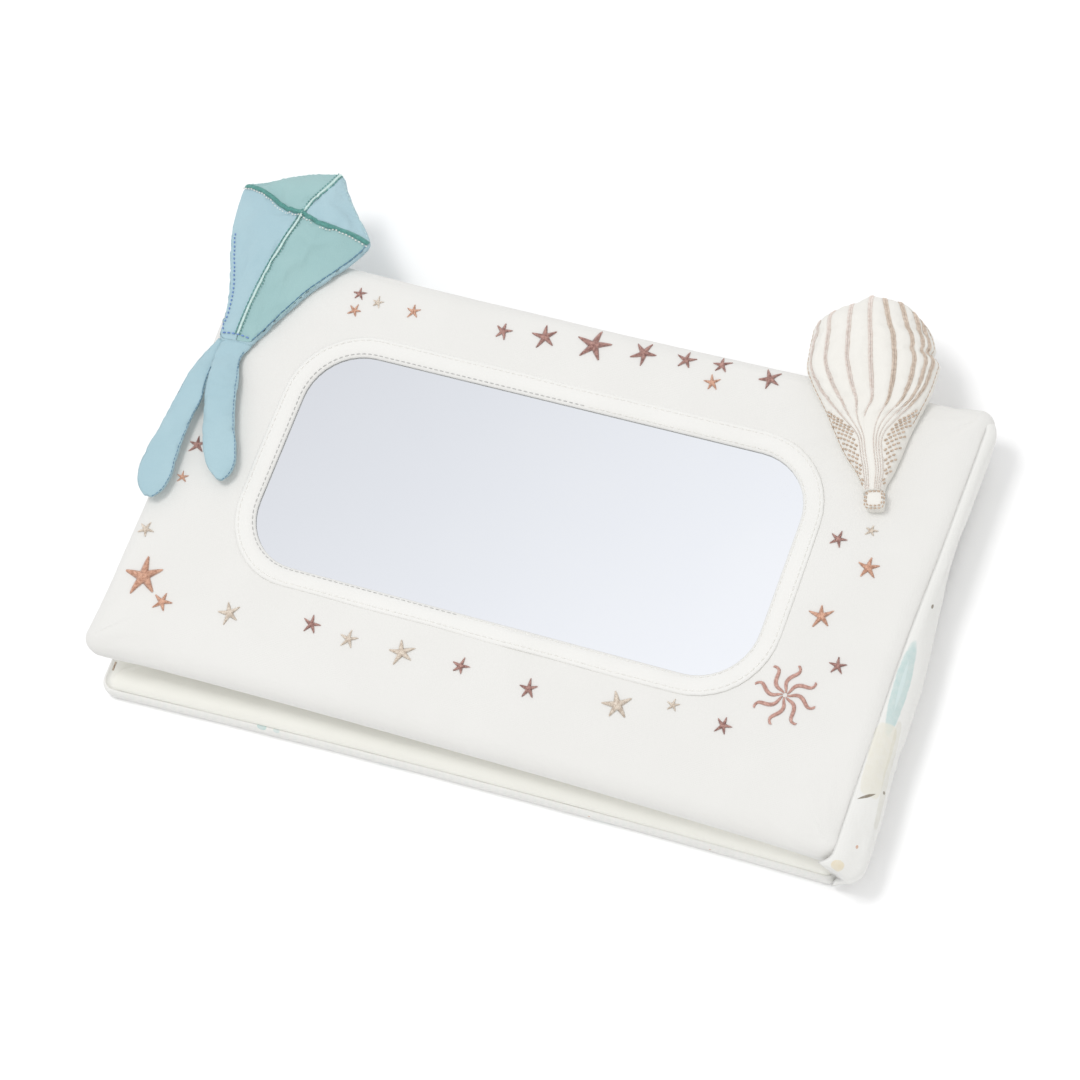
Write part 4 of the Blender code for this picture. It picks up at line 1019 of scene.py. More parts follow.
foot_edge = base_loop(*FOOT[0])
foot_middle = np.array([0, 0, 0.2 * MM])
rows = pad_rows(foot_edge, foot_middle, (0.02, 0.3, 0.6, 0.85))
rows += [base_loop(inset, height) for inset, height in FOOT]
rows = np.array(rows)
lift = np.clip(rows[..., 2] / BASE_SEAM, 0, 1)
rows[..., 0] += lift * wobble(rows, 0.18 * MM, 0.045)
rows[..., 1] += lift * wobble(rows[..., [1, 0, 2]], 0.18 * MM, 0.05)
vertices, foot_faces = lattice(rows, first=foot_middle)
base_print = make_piece("base_printed_cover", vertices, foot_faces, PRINT, "base")
wall(base_print, 0.6 * MM)
closed_rows = np.concatenate([rows, rows[:, :1]], axis=1)
sheet_area(closed_rows)
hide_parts("base_cover_outer")
report(base_print)

# %% [markdown]
# ## The spine
# The spine is a narrow pad of printed cloth. It starts at the lower panel's foot, leans out and ends in
# a seam on the upper panel's rolled edge, and it bulges more at the near end. Its section is a loop:
# down the printed side and up the plain one, with a thickness that swells between the two folds and
# closes at both ends, where it bends round the panels' corners.

# %% The spine's surface
SPINE_HALF, SPINE_CORNER, SPINE_END = PANEL_WIDTH / 2 - 0.3 * MM, 5.4 * MM, 2.5 * MM
SPINE_LEAN, SPINE_TUCK = 3.6 * MM, 0.8 * MM
SPINE_BOW, SPINE_HOLLOW, NEAR_BOW = 6.2 * MM, 1.5 * MM, 1.3 * MM


def spine_line(across, share):
    """The spine's inner line: it leans out by a smooth step, bows by sin(pi s) ** 2, and follows the
    upper panel's roll, a quarter ellipse, at its top. At its ends it turns in by a quarter circle."""
    low, high = LOWER_FOLD.z + 0.3 * MM, UPPER_FOLD.z + 0.2 * MM
    height = low + (high - low) * share
    lean = SPINE_LEAN - (across - UPPER_FOLD.y) * math.tan(YAW) + far_flare(across)
    x = LOWER_FOLD.x + lean * smooth_step((share - 0.1) / 0.62)
    bow = SPINE_BOW * smooth_step((45 * MM - across) / (70 * MM)) - SPINE_HOLLOW
    bow = bow + NEAR_BOW * smooth_step((-across - 45 * MM) / (25 * MM))
    upright = HALF * UPRIGHT
    rolled = np.clip((height - (UPPER_FOLD.z - 5 * MM) - upright) / (HALF - upright), 0, 1)
    tucked = SPINE_TUCK * smooth_step((share - 0.86) / 0.14)
    turn = np.clip((np.abs(across) - SPINE_HALF + SPINE_CORNER) / SPINE_CORNER, 0, 0.97)
    corner = SPINE_CORNER * (1 - np.sqrt(1 - turn**2))
    x = x + bow * np.sin(np.pi * share) ** 2 - ROLL * (1 - np.sqrt(1 - rolled**2)) - tucked - corner
    return np.stack([x, across, height], axis=-1)


def spine_section(across, share, depth):
    """Points a depth outside the spine's line, along the cross product of its two directions."""
    step = 0.004
    up_it = spine_line(across, share + step) - spine_line(across, share - step)
    along_it = spine_line(across + step * 0.1, share) - spine_line(across - step * 0.1, share)
    return spine_line(across, share) + unit(np.cross(along_it, up_it)) * depth[..., None]


ends = np.linspace(-1, 1, 113)
ends = np.sign(ends) * (1 - (1 - np.abs(ends)) ** 1.35)
down, upwards = np.linspace(1, 0, 33), np.linspace(0, 1, 33)[1:-1]
share = np.tile(np.concatenate([down, upwards]), (len(ends), 1))
across = np.tile(ends[:, None] * SPINE_HALF, (1, share.shape[1]))
outside = np.tile(np.append(np.ones(len(down)), np.zeros(len(upwards))), (len(ends), 1))
closing = np.sqrt(1 - np.clip((np.abs(across) - SPINE_HALF + SPINE_END) / SPINE_END, 0, 0.97) ** 2)
near = 0.5 - across / PANEL_WIDTH
top = np.sqrt(1 - np.clip((share - 0.84) / 0.16, 0, 1) ** 2)
ridge = 0.5 * MM * near * np.exp(-(((share - 0.62) / 0.07) ** 2))
swell = (1.2 * MM + (0.2 + 0.7 * near) * MM * np.sin(np.pi * share)) * top + 0.15 * MM + ridge
depth = swell / 2 + (outside - 0.5) * swell * closing
grid = spine_section(across, share, depth)
grid[..., 0] += outside * wobble(grid[..., [1, 2, 0]], 0.12 * MM, 0.06)
vertices, spine_faces = lattice(grid, first=grid[0].mean(axis=0), last=grid[-1].mean(axis=0))
spine = make_piece("spine_printed_pad", vertices, spine_faces, PRINT, "spine")
held = held_at(grid.shape, (True, True), (share < 0.04) | (share > 0.9) | (outside < 0.5))
moves = fill_cover(spine, held, pressure=3.0, cap=0.35 * MM, slack=0.006)
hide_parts("spine_cover", "spine_lining", "spine_pad")
report(spine, moves)

# %% [markdown]
# ## The print on the cotton
# The cover's outside is a nursery print. A plain one of its kind is drawn here: soft watercolour leaves
# in pale aqua, sandy patches, and small rust and dark dots. A motif is an area round a point of the
# cloth, measured along the cloth and across it, with an edge that noise makes wander like wet paint.
# The few that the camera sees are placed through its pixels, and the underside gets one in each cell of
# a Voronoi pattern. One darker sand strip on the spine's near half is not print but painted shade, where
# the spine's side turns away from the light below its fold.

# %% Motifs
def seen_through(pixel, tree):
    """The point and the normal of a cloth where the camera looks through a pixel."""
    x = (pixel[0] - IMAGE_PIXELS / 2) / FOCAL_PIXELS
    y = (IMAGE_PIXELS / 2 - pixel[1]) / FOCAL_PIXELS
    sight = camera.matrix_world.to_3x3() @ Vector((x, y, -1))
    eye = camera.matrix_world.translation
    hit = tree.ray_cast(eye, sight)
    if hit[0] is None:
        hit = tree.find_nearest(eye + sight * CAMERA_DISTANCE)
    return np.array(hit[0]), np.array(hit[1])


def inside(along, across, size, powers):
    """1 where |along / length| ** p + |across / width| ** q is below 1. Powers 2 and 2 make an oval, 2
    and 1 a leaf with pointed ends, and 5 and 5 a patch with round corners."""
    first = (along * (1 / size[0])).power(powers[0])
    second = (across * (1 / size[1])).power(powers[1])
    return 1 - (first + second).between(0.8, 1.15)


def motif(place, wander, tree, ends, width, powers):
    """A mask for a motif that goes from one pixel to another, and is a width in millimetres across."""
    (first, normal), (last, _) = [seen_through(pixel, tree) for pixel in ends]
    run = last - first
    length = np.linalg.norm(run)
    run = run / length
    across = np.cross(normal, run)
    middle = (first + last) / 2 * 1000
    along_it = dot(place, run) - float(run @ middle) + wander
    across_it = dot(place, across) - float(across @ middle) + wander * 0.5
    return inside(along_it, across_it, (length * 500, width), powers)


def scattered(place, spacing, size, powers, low, high):
    """A motif in those cells of a flat Voronoi pattern whose random number is between low and high,
    turned by another random number."""
    settings = {"voronoi_dimensions": "2D"}
    cell = place.node("ShaderNodeTexVoronoi", settings, {"Vector": place, "Scale": 1 / spacing})
    outputs = cell.socket.node.outputs
    middle = axes(Signal(place.tree, outputs["Position"]))
    random = axes(Signal(place.tree, outputs["Color"]))
    x, y, z = axes(place)
    turn = random[0] * (2 * math.pi)
    cos, sin = (turn + math.pi / 2).sine(), turn.sine()
    across, along = x - middle[0], y - middle[1]
    mask = inside(across * cos + along * sin, along * cos - across * sin, size, powers)
    chosen = random[1].between(low - 0.01, low) - random[1].between(high - 0.01, high)
    return mask * chosen


AQUA, PALE_AQUA, OCHRE = (0.430, 0.600, 0.590), (0.640, 0.740, 0.735), (0.740, 0.610, 0.360)
# The third sand colour is not a print colour: it is painted shade for the spine's side below its fold.
SAND, PALE_SAND, SAND_PAINTED_FOLD_SHADE = (0.700, 0.670, 0.530), (0.750, 0.728, 0.640), (0.560, 0.530, 0.410)
RUST, UMBER = (0.560, 0.250, 0.110), (0.150, 0.110, 0.060)
OVAL, LEAF, PATCH = (2, 2), (2, 1), (5, 5)
SEEN_MOTIFS = (
    ("spine", ((915, 642), (887, 736)), 3.1, OVAL, AQUA, 0.75),
    ("spine", ((909, 660), (894, 712)), 0.8, LEAF, PALE_AQUA, 0.9),
    ("spine", ((890, 724), (869, 797)), 4.4, PATCH, PALE_SAND, 0.95),
    # This long strip is painted shade on the spine's side, where it turns away from the light below its
    # fold.
    ("spine", ((900, 722), (875, 830)), 1.5, PATCH, SAND_PAINTED_FOLD_SHADE, 0.3),
    ("spine", ((857, 799), (876, 794)), 0.5, LEAF, UMBER, 0.95),
    ("spine", ((883, 792), (885, 794)), 0.6, OVAL, UMBER, 0.8),
    ("spine", ((932, 605), (933, 608)), 0.9, OVAL, UMBER, 0.9),
    ("spine", ((856, 846), (858, 848)), 0.7, OVAL, RUST, 0.8),
    ("spine", ((841, 860), (834, 870)), 2.2, OVAL, OCHRE, 0.6),
    ("base", ((232, 726), (243, 729)), 1.1, OVAL, AQUA, 0.8),
    ("base", ((251, 731), (259, 733)), 0.9, OVAL, AQUA, 0.45),
    ("base", ((588, 816), (590, 817)), 0.6, OVAL, RUST, 0.8),
    ("base", ((709, 849), (711, 850)), 0.6, OVAL, RUST, 0.8),
)
UNDER_MOTIFS = (
    (46, (11, 4.2), LEAF, 0.05, 0.45, AQUA, 0.75),
    (46, (6.5, 4.6), OVAL, 0.5, 0.8, SAND, 0.6),
    (19, (0.9, 0.8), OVAL, 0.2, 0.45, RUST, 0.8),
    (23, (0.8, 0.7), OVAL, 0.6, 0.8, UMBER, 0.8),
)

# %% Painting it
TREES = {"spine": tree_of(spine, spine_faces), "base": tree_of(base_print, foot_faces)}
# The print's ground is also darker in the weave's valleys: painted shade.
height, tone_and_painted_shade = weave_and_painted_shade(print_place)
colour = tone_and_painted_shade.tint((0.765, 0.760, 0.732), (0.815, 0.812, 0.785))
wander = (noise(print_place, 0.35, 3.0) - 0.5) * 1.6
stain = noise(print_place, 0.5, 3.0).between(0.2, 0.8) * 0.35 + 0.65
for carrier, ends, width, powers, paint, strength in SEEN_MOTIFS:
    reach = wander if width > 0.9 else wander * 0.2
    mask = motif(print_place, reach, TREES[carrier], ends, width, powers)
    colour = (mask * stain * strength).tint(colour, paint)
underneath = 1 - axes(print_place)[2].between(0.4, 0.9)
for spacing, size, powers, low, high, paint, strength in UNDER_MOTIFS:
    mask = scattered(print_place, spacing, size, powers, low, high)
    colour = (mask * underneath * stain * strength).tint(colour, paint)
connect(print_shader, "Base Color", colour)
bump(print_shader, height, 0.7, 0.06 * MM)
print(len(SEEN_MOTIFS), "motifs that the camera sees, and", len(UNDER_MOTIFS), "kinds underneath")

# %% A brown tack at the lower panel's near corner
pad_tree = tree_of(base_pad, pad_faces)
(low, normal), (high, _) = [seen_through(pixel, pad_tree) for pixel in ((113, 670), (116, 662))]
share = np.linspace(0, 1, 10)[:, None]
path, outs = low * (1 - share) + high * share, np.tile(normal, (10, 1))
batch = satin(path, outs, np.full(10, 0.5 * MM), 0.4 * MM, 0.2 * MM)
tack = sew("base_corner_tack", [batch], "brown", "base")
report(tack)

# %% [markdown]
# ## The kite
# The kite is a stuffed pillow: four quarters of cloth on its face, meeting in two sunken seams, and a
# back with a narrow side wall. Rays from the crossing to the outline, and rings between them, give a
# grid whose seams are whole columns, so the cloth can be held exactly there while it is filled.

# %% The kite's outline and grid
KITE_LEAN = math.radians(-9.7)
QUARTER, RINGS = 40, 26
AROUND = 4 * QUARTER
EDGE_BOWS = (
    ((0, 0.2, 0.4, 0.57, 0.72, 0.9, 1), (0, -0.9, -1.7, -1.7, -0.6, 0.4, 0)),
    ((0, 0.25, 0.5, 0.75, 1), (0, 0, -0.7, -0.9, 0)),
    ((0, 0.08, 0.25, 0.42, 0.6, 0.77, 1), (0, 0.3, 1.15, 1.3, 0.85, 0, 0)),
    ((0, 0.15, 0.25, 0.39, 0.52, 0.65, 0.79, 0.92, 1), (0, 1.7, 2.25, 1.6, 0.4, -0.6, -0.3, 0.6, 0)),
)
ARM_BOWS = ((-1.7, 0.0), (-0.4, -0.5), (0.0, 0.3), (0.2, 0.9))


def rounded_corners(corners, radii, steps=8):
    """A closed polygon with an arc at each corner. Returns the points and the number of each arc's
    middle point."""
    points, middles = [], []
    count = len(corners)
    for i, corner in enumerate(corners):
        to_last = corners[i - 1] - corner
        to_next = corners[(i + 1) % count] - corner
        to_last = to_last / np.linalg.norm(to_last)
        to_next = to_next / np.linalg.norm(to_next)
        half = math.acos(np.clip(to_last @ to_next, -1, 1)) / 2
        inward = (to_last + to_next) / np.linalg.norm(to_last + to_next)
        centre = corner + inward * radii[i] / math.sin(half)
        start = corner + to_last * radii[i] / math.tan(half) - centre
        angles = np.linspace(0, math.pi - 2 * half, steps + 1)
        x = start[0] * np.cos(angles) - start[1] * np.sin(angles)
        y = start[0] * np.sin(angles) + start[1] * np.cos(angles)
        middles.append(len(points) + steps // 2)
        points += list(centre + np.column_stack([x, y]))
    return np.array(points), middles


def leaned(x, y):
    """A place of the kite in millimetres, turned by its lean."""
    cos, sin = math.cos(KITE_LEAN), math.sin(KITE_LEAN)
    return np.array([x * cos - y * sin, x * sin + y * cos]) * MM


SIDE_CORNERS = [leaned(27.4, 56.5), leaned(1.1, 78.3), leaned(-33.0, 58.9)]
corners = [np.array([6.5, 0]) * MM, *SIDE_CORNERS, np.array([-6.5, 0]) * MM]
KITE_CROSS = leaned(-2.03, 55.98)
points, middles = rounded_corners(corners, [2 * MM, 3.5 * MM, 3.5 * MM, 3.5 * MM, 2 * MM])
points = np.vstack([[0, 0], points, [0, 0]])
run = np.concatenate([[0], np.cumsum(np.linalg.norm(np.diff(points, axis=0), axis=1))])
stops = [0, middles[1] + 1, middles[2] + 1, middles[3] + 1, len(points) - 1]
wanted = np.concatenate(
    [np.linspace(run[a], run[b], QUARTER + 1)[:-1] for a, b in zip(stops, stops[1:])]
)
kite_outline = np.column_stack([np.interp(wanted, run, points[:, i]) for i in (0, 1)])
part = np.arange(QUARTER) / QUARTER
bulges = np.concatenate([through(part, *bow) for bow in EDGE_BOWS]) * MM
slope = np.roll(kite_outline, -1, axis=0) - np.roll(kite_outline, 1, axis=0)
kite_outline += unit(np.column_stack([slope[:, 1], -slope[:, 0]])) * bulges[:, None]

ring = np.cos(np.linspace(0, 0.965, RINGS) * math.pi / 2)
between = np.arange(AROUND) % QUARTER / QUARTER
groove = 0.74 + 0.26 * np.sin(np.pi * between) ** 0.6
crown = 5.2 * MM * np.clip(1 - ring**2, 0, 1)[:, None] ** 0.6 * groove


def kite_rows(shares, heights):
    """Rows at shares of the way from the crossing to the outline. Near each arm of the cross the rows
    shift sideways by bow * sin(pi s) + sway * sin(2 pi s), as a seam sewn by hand does."""
    shares = np.reshape(shares, (-1, 1, 1))
    flat = KITE_CROSS + (kite_outline - KITE_CROSS) * shares
    for arm, (bow, sway) in enumerate(ARM_BOWS):
        reach = kite_outline[arm * QUARTER] - KITE_CROSS
        side = np.array([-reach[1], reach[0]]) / np.linalg.norm(reach)
        apart = np.abs((np.arange(AROUND) - (arm - 2) * QUARTER) % AROUND - 2 * QUARTER)
        near = np.clip(1 - apart / (0.8 * QUARTER), 0, 1)[None, :, None] ** 2
        inner = np.clip(shares, 0, 1)
        bend = bow * np.sin(np.pi * inner) + sway * np.sin(2 * np.pi * inner)
        flat = flat + side * near * MM * bend
    return np.concatenate([flat, np.broadcast_to(heights, flat.shape[:2])[..., None]], axis=-1)


side_shares = np.array([0.1, 0.45, 0.75, 0.93, 0.99, 1.012, 1.012])
side_heights = np.array([-3.7, -3.7, -3.7, -3.65, -3.0, -1.9, -0.9])[:, None] * MM
grid = np.concatenate([kite_rows(side_shares, side_heights), kite_rows(ring, crown)])
FACE_START = len(side_shares)
kite_low, kite_top = [np.array([*KITE_CROSS, height]) for height in (TOY_BACK, crown[-1].mean())]
pillow, world_grid, _ = cushion(
    "kite_stuffed_body", grid, (kite_low, kite_top), KITE_FRAME, BLUE, "kite"
)
seams = (np.s_[: FACE_START - 3], FACE_START, np.s_[FACE_START:, ::QUARTER])
held = held_at(grid.shape, (True, True), *seams)
moves = fill_cover(pillow, held, pressure=6.0, cap=2.6 * MM, slack=0.02)
report(pillow, moves)

# %% The four quarters of its face
def grid_normals(grid):
    """Unit normals of a closed grid: the column step crossed with the row step."""
    across = np.roll(grid, -1, axis=1) - np.roll(grid, 1, axis=1)
    return unit(np.cross(across, np.gradient(grid, axis=0)))


def on_grid(values, rows, columns):
    """Values at fractional rows and columns of a closed grid, mixed between the four neighbours."""
    rows = np.clip(rows, 0, len(values) - 1.001)
    low, left = np.floor(rows).astype(int), np.floor(columns).astype(int)
    v, u = (rows - low)[:, None], (columns - left)[:, None]
    count = values.shape[1]
    first = values[low, left % count] * (1 - u) + values[low, (left + 1) % count] * u
    second = values[low + 1, left % count] * (1 - u) + values[low + 1, (left + 1) % count] * u
    return first * (1 - v) + second * v


def path_on(grid, normals, rows, columns, lift=0.0):
    """A path over a grid through fractional rows and columns, lifted along the normals, and these."""
    rows, columns = np.broadcast_arrays(np.asarray(rows, float), np.asarray(columns, float))
    outs = unit(on_grid(normals, rows, columns))
    return on_grid(grid, rows, columns) + outs * lift, outs


kite_grid = coordinates(pillow.data)[:-2].reshape(world_grid.shape)
kite_outs = grid_normals(kite_grid)
FACE_THICKNESS = 0.55 * MM
depth = np.zeros(grid.shape[:2])
depth[FACE_START + 1 :] = FACE_THICKNESS
points = coordinates(pillow.data)
points[:-2] = (kite_grid - kite_outs * depth[..., None]).reshape(-1, 3)
points[-1] -= np.array(PANEL_UP) * FACE_THICKNESS
set_coordinates(pillow.data, points)
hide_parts("kite_back", "kite_filling")

face_top = moved(kite_top, KITE_FRAME)
QUARTERS = (
    ("lower_right", GREEN, "kite_green"),
    ("upper_right", BLUE, "kite_blue"),
    ("upper_left", GREEN, "kite_green"),
    ("lower_left", BLUE, "kite_blue"),
)
for number, (place, material, slot) in enumerate(QUARTERS):
    columns = np.arange(number * QUARTER, (number + 1) * QUARTER + 1) % AROUND
    patch = kite_grid[FACE_START:, columns]
    vertices, faces = lattice(patch, closed=False, last=face_top)
    quarter = make_piece(f"kite_face_{place}", vertices, faces, material, "kite")
    wall(quarter, 0.5 * MM)
    smoother(quarter)
    size = np.ptp(kite_outline[columns], axis=0) + 8 * MM
    area = min(sheet_area(patch), float(size.prod()))
    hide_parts(f"kite_quarter_{place}")
    report(quarter)

# %% [markdown]
# ## The kite's seams and stitches
# A satin cord lies in each seam of the face. The cord to the side corners is dark teal with a dotted
# pale line below it, and the cord to the tip and the waist is pale with a thin dark line on each side.
# Since the seams are columns of the grid, a path along one is a few fractional rows and columns.

# %% Cords in the seams
def kite_path(rows, columns, lift):
    """A path over the kite's face, by ring number and column, lifted off the cloth."""
    return path_on(kite_grid, kite_outs, FACE_START + rows, columns, lift)


WAIST_ARM, RIGHT_ARM, TIP_ARM, LEFT_ARM = range(4)
SEAM_POINTS = 51


def seam_path(arm, sideways=0.0, lift=0.3 * MM):
    """Along an arm of the cross from the edge to the crossing, shifted sideways over the cloth. It
    rises towards the crossing, where the seams close and lift the threads. At the waist it starts 2 mm
    up, to leave room for the tails when they are lifted."""
    rows = np.linspace(4.6 if arm == WAIST_ARM else 1.4, RINGS - 1, SEAM_POINTS - 1)
    rise = lift + 0.55 * MM * smooth_step((rows - 0.5 * RINGS) / (0.45 * RINGS))
    path, outs = kite_path(rows, arm * QUARTER, rise[:, None])
    path = np.vstack([path, face_top + outs[-1:] * rise[-1]])
    outs = np.vstack([outs, outs[-1:]])
    return path + np.cross(outs, unit(np.gradient(path, axis=0))) * sideways, outs


even = np.ones(SEAM_POINTS)
dark, pale, dots = [], [], []
for arm, below in ((RIGHT_ARM, 1), (LEFT_ARM, -1)):
    path, outs = seam_path(arm, lift=0.15 * MM)
    dark.append(satin(path, outs, even * 0.95 * MM, 0.42 * MM, 0.26 * MM, slant=0.6, puff=0.25))
    path, outs = seam_path(arm, sideways=below * 1.7 * MM)
    dots.append(running_stitch(path, outs, 0.75 * MM, 0.7 * MM, 0.26 * MM, lift=0.2 * MM))
for arm in (TIP_ARM, WAIST_ARM):
    path, outs = seam_path(arm, lift=0.15 * MM)
    pale.append(satin(path, outs, even * 0.5 * MM, 0.42 * MM, 0.24 * MM, slant=0.7))
    path, outs = seam_path(arm, sideways=0.95 * MM)
    dark.append(running_stitch(path, outs, 1.6 * MM, 0.15 * MM, 0.24 * MM))
    path, outs = seam_path(arm, sideways=-1.0 * MM)
    dark.append(running_stitch(path, outs, 0.8 * MM, 0.55 * MM, 0.2 * MM))
cord = sew("kite_seam_cord", dark, "teal", "kite")
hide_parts("kite_cross_cord")
light_cord = sew("kite_seam_pale_cord", pale, "mint", "kite")
dotted = sew("kite_seam_dots", dots, "cream", "kite")
for made in (cord, light_cord, dotted):
    report(made)

# %% Stitches round its edge and over its waist
vertices, faces = lattice(kite_grid[FACE_START:])
kite_tree = BVHTree.FromPolygons(vertices.tolist(), faces)
path, outs = kite_path(5.0, np.linspace(3.3 * QUARTER, 3.92 * QUARTER, 200), 0.15 * MM)
edges = [running_stitch(path, outs, 0.9 * MM, 0.9 * MM, 0.3 * MM)]
path, outs = kite_path(2.4, np.linspace(0.1 * QUARTER, 1.02 * QUARTER, 200), 0.08 * MM)
deep = [running_stitch(path, outs, 2.4 * MM, 0.15 * MM, 0.24 * MM)]
path, outs = kite_path(1.2, np.linspace(1.02 * QUARTER, 3.0 * QUARTER, 300), 0.0)
faint = [running_stitch(path, outs, 1.2 * MM, 0.9 * MM, 0.11 * MM)]
waist = np.linspace(-6.2, 6.4, 40)
places = np.column_stack([waist, 2.1 - 0.012 * waist**2]) * MM
path, outs = cloth_under(places, kite_tree, KITE_FRAME)
edges.append(running_stitch(path + outs * 0.25 * MM, outs, 1.3 * MM, 0.7 * MM, 0.32 * MM))
edge = sew("kite_edge_stitches", edges, "blue", "kite")
deep_edge = sew("kite_lower_edge_stitches", deep, "deep", "kite")
faint_edge = sew("kite_top_edge_stitches", faint, "mint", "kite")
for made in (edge, deep_edge, faint_edge):
    report(made)

# %% [markdown]
# ## The kite's tails
# Two flat stuffed tubes hang from the waist. Each is a row of stations, a place along the tail with
# its middle and its width, and a smooth curve through them gives the rows between. The side seams are
# two columns of the grid, held while the tube is filled.

# %% The tails' stations and grid
TAIL_WIDTH, TAIL_SIDES, TAIL_ROWS = 0.0128, 28, 64
TAILS = (
    (
        "kite_tail_left",
        0.070,
        (0, 0.11, 0.23, 0.36, 0.54, 0.74, 0.87, 0.955, 0.995),
        (-0.555, -0.67, -0.69, -0.665, -0.71, -0.74, -0.705, -0.66, -0.63),
        (0.23, 0.41, 0.6, 0.76, 0.84, 0.98, 1.0, 0.66, 0.22),
    ),
    (
        "kite_tail_right",
        0.0565,
        (0, 0.1, 0.26, 0.46, 0.62, 0.75, 0.87, 0.955, 0.995),
        (0.0, -0.07, 0.105, 0.35, 0.61, 0.86, 1.09, 1.24, 1.29),
        (0.98, 0.84, 0.95, 1.02, 1.06, 1.08, 0.96, 0.56, 0.18),
    ),
)


def tail_grid(length, stations, middles, widths, under):
    """Flat oval sections: x goes with cos a and z with sin a, and the tail rises off the panel. The one
    that lies under the other starts thinner and lower."""
    along = (1 - (1 - np.linspace(0, 1, TAIL_ROWS)) ** 1.3) * 0.995
    angle = np.linspace(0, 2 * math.pi, TAIL_SIDES, endpoint=False)
    middle = through(along, stations, middles)[:, None]
    width = np.maximum(through(along, stations, widths), 0.1)[:, None]
    rise = np.sin(np.pi / 2 * np.minimum(1, along / 0.35))[:, None] ** 2
    thickness = (3.4 + 1.0 * rise) * MM * np.minimum(1, 0.35 + 0.65 * width)
    x = TAIL_WIDTH * (middle + width / 2 * np.cos(angle))
    thickness = thickness * (1 - 0.35 * under * (1 - rise))
    z = 3.0 * MM * rise - 1.9 * MM - 0.7 * MM * under * (1 - rise)
    z = z + thickness / 2 * np.sign(np.sin(angle)) * np.abs(np.sin(angle)) ** 0.9
    return np.stack([x, np.broadcast_to(-length * along[:, None], x.shape), z], axis=-1)


for name, length, stations, middles, widths in TAILS:
    grid = tail_grid(length, stations, middles, widths, float(name == "kite_tail_left"))
    poles = (grid[0].mean(axis=0), grid[-1].mean(axis=0))
    tail, world_grid, _ = cushion(f"{name}_stuffed", grid, poles, KITE_FRAME, BLUE, name)
    held = held_at(grid.shape, (True, False), np.s_[:2], np.s_[:, [0, TAIL_SIDES // 2]])
    moves = fill_cover(tail, held, pressure=6.0, cap=0.9 * MM, slack=0.03)
    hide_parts(name)
    tail_world = coordinates(tail.data)[:-2].reshape(world_grid.shape)
    path, outs = path_on(tail_world, grid_normals(tail_world), np.linspace(3, TAIL_ROWS - 1, 240), 1.6)
    batch = running_stitch(path, outs, 1.2 * MM, 0.5 * MM, 0.17 * MM)
    sew(f"{name}_seam_stitches", [batch], "deep", name)
    report(tail, moves)

# %% [markdown]
# ## The balloon
# The balloon is a quilted pillow: seven lobes between eight sewn ribs, the outer two along its outline.
# At the neck above the basket the ribs draw together and leave room for the nets beside them. Its grid
# runs along the balloon, and round each section: over the face, down the side, under the back and up
# again. The ribs are columns and stay put while the lobes are filled.

# %% The balloon's outline, ribs and grid
BALLOON_LENGTH, BALLOON_HALF, BALLOON_CROWN = 0.0854, 0.0235, 0.0095
EDGES = np.array(
    [
        (7.7, -3.8, 3.2), (9.8, -4.1, 3.3), (15.3, -6.6, 5.8), (22.4, -11.3, 8.4), (31.1, -15.5, 11.3),
        (40.7, -19.7, 15.4), (49.5, -24.3, 18.7), (57, -27.0, 19.9), (64, -26.7, 18.7),
        (69.7, -26.0, 17.0), (74.8, -24.4, 13.8), (78.1, -19.9, 10.8), (80.4, -15.7, 8.5),
        (81.7, -11.7, 6.4), (83.2, -9.1, 2.5), (84.4, -7.4, -2.2), (85.4, -5.9, -4.4),
    ]
)
ENVELOPE_ALONG = (0.09, 0.117, 0.176, 0.24, 0.304, 0.33, 0.386, 0.467, 0.539, 0.609, 0.70, 1.0)
ENVELOPE = (0.75, 0.75, 0.56, 0.41, 0.33, 0.33, 0.58, 0.81, 0.89, 0.92, 0.93, 0.93)
RIBS = np.array([-1.0, -0.73, -0.36, 0.03, 0.42, 0.73, 0.90, 1.0])
NECK_RIBS = np.array([-1.0, -0.77, -0.53, -0.30, 0.30, 0.53, 0.77, 1.0])
RIB_TOPS = np.array([-24.4, -19.8, -11.9, -5.2, -0.6, 4.9, 10.9, 15.0]) * MM
TOP_FROM = 0.76
FOLD_NOTCH, FOLD_BULGE = (1.9, 61.3, 1.5), (0.6, 57.0, 2.4)
LOBE_STEPS, NET_STEPS, BACK_STEPS, BALLOON_ROWS = 8, 6, 16, 96


def balloon_edges(along):
    """Where the face's left and right edges are, at a share of the balloon's length. A row of EDGES is
    a place along it and both edges, in millimetres."""
    place = along * BALLOON_LENGTH / MM
    left, right = [through(place, EDGES[:, 0], EDGES[:, side]) for side in (1, 2)]
    return left * MM, np.maximum(right, left + 0.5) * MM


def hump(along, depth, middle, width):
    """A bell curve along the balloon, sized in millimetres: depth * exp(-((y - middle) / width) ** 2)."""
    return depth * MM * np.exp(-(((BALLOON_LENGTH * along / MM - middle) / width) ** 2))


def balloon_face(along, share, lobe):
    """A point of the face: its height is crown * (1 - s * s) ** 0.6, plus the lobe between two ribs,
    which also pushes the balloon's top outwards. On the right is a fold: a notch with a bulge below it,
    whose depth goes with s ** 4."""
    left, right = balloon_edges(along)
    half = (right - left) / 2
    size = half / BALLOON_HALF
    fold = hump(along, *FOLD_BULGE) - hump(along, *FOLD_NOTCH)
    x = (left + right) / 2 + half * share + fold * np.maximum(share, 0) ** 4
    y = BALLOON_LENGTH * along + lobe * 0.6 * smooth_step((along - 0.75) / 0.2)
    z = BALLOON_CROWN * 0.92 * size**0.8 * np.clip(1 - share**2, 0, 1) ** 0.6 + lobe * size
    return np.stack(np.broadcast_arrays(x, y, z), axis=-1)


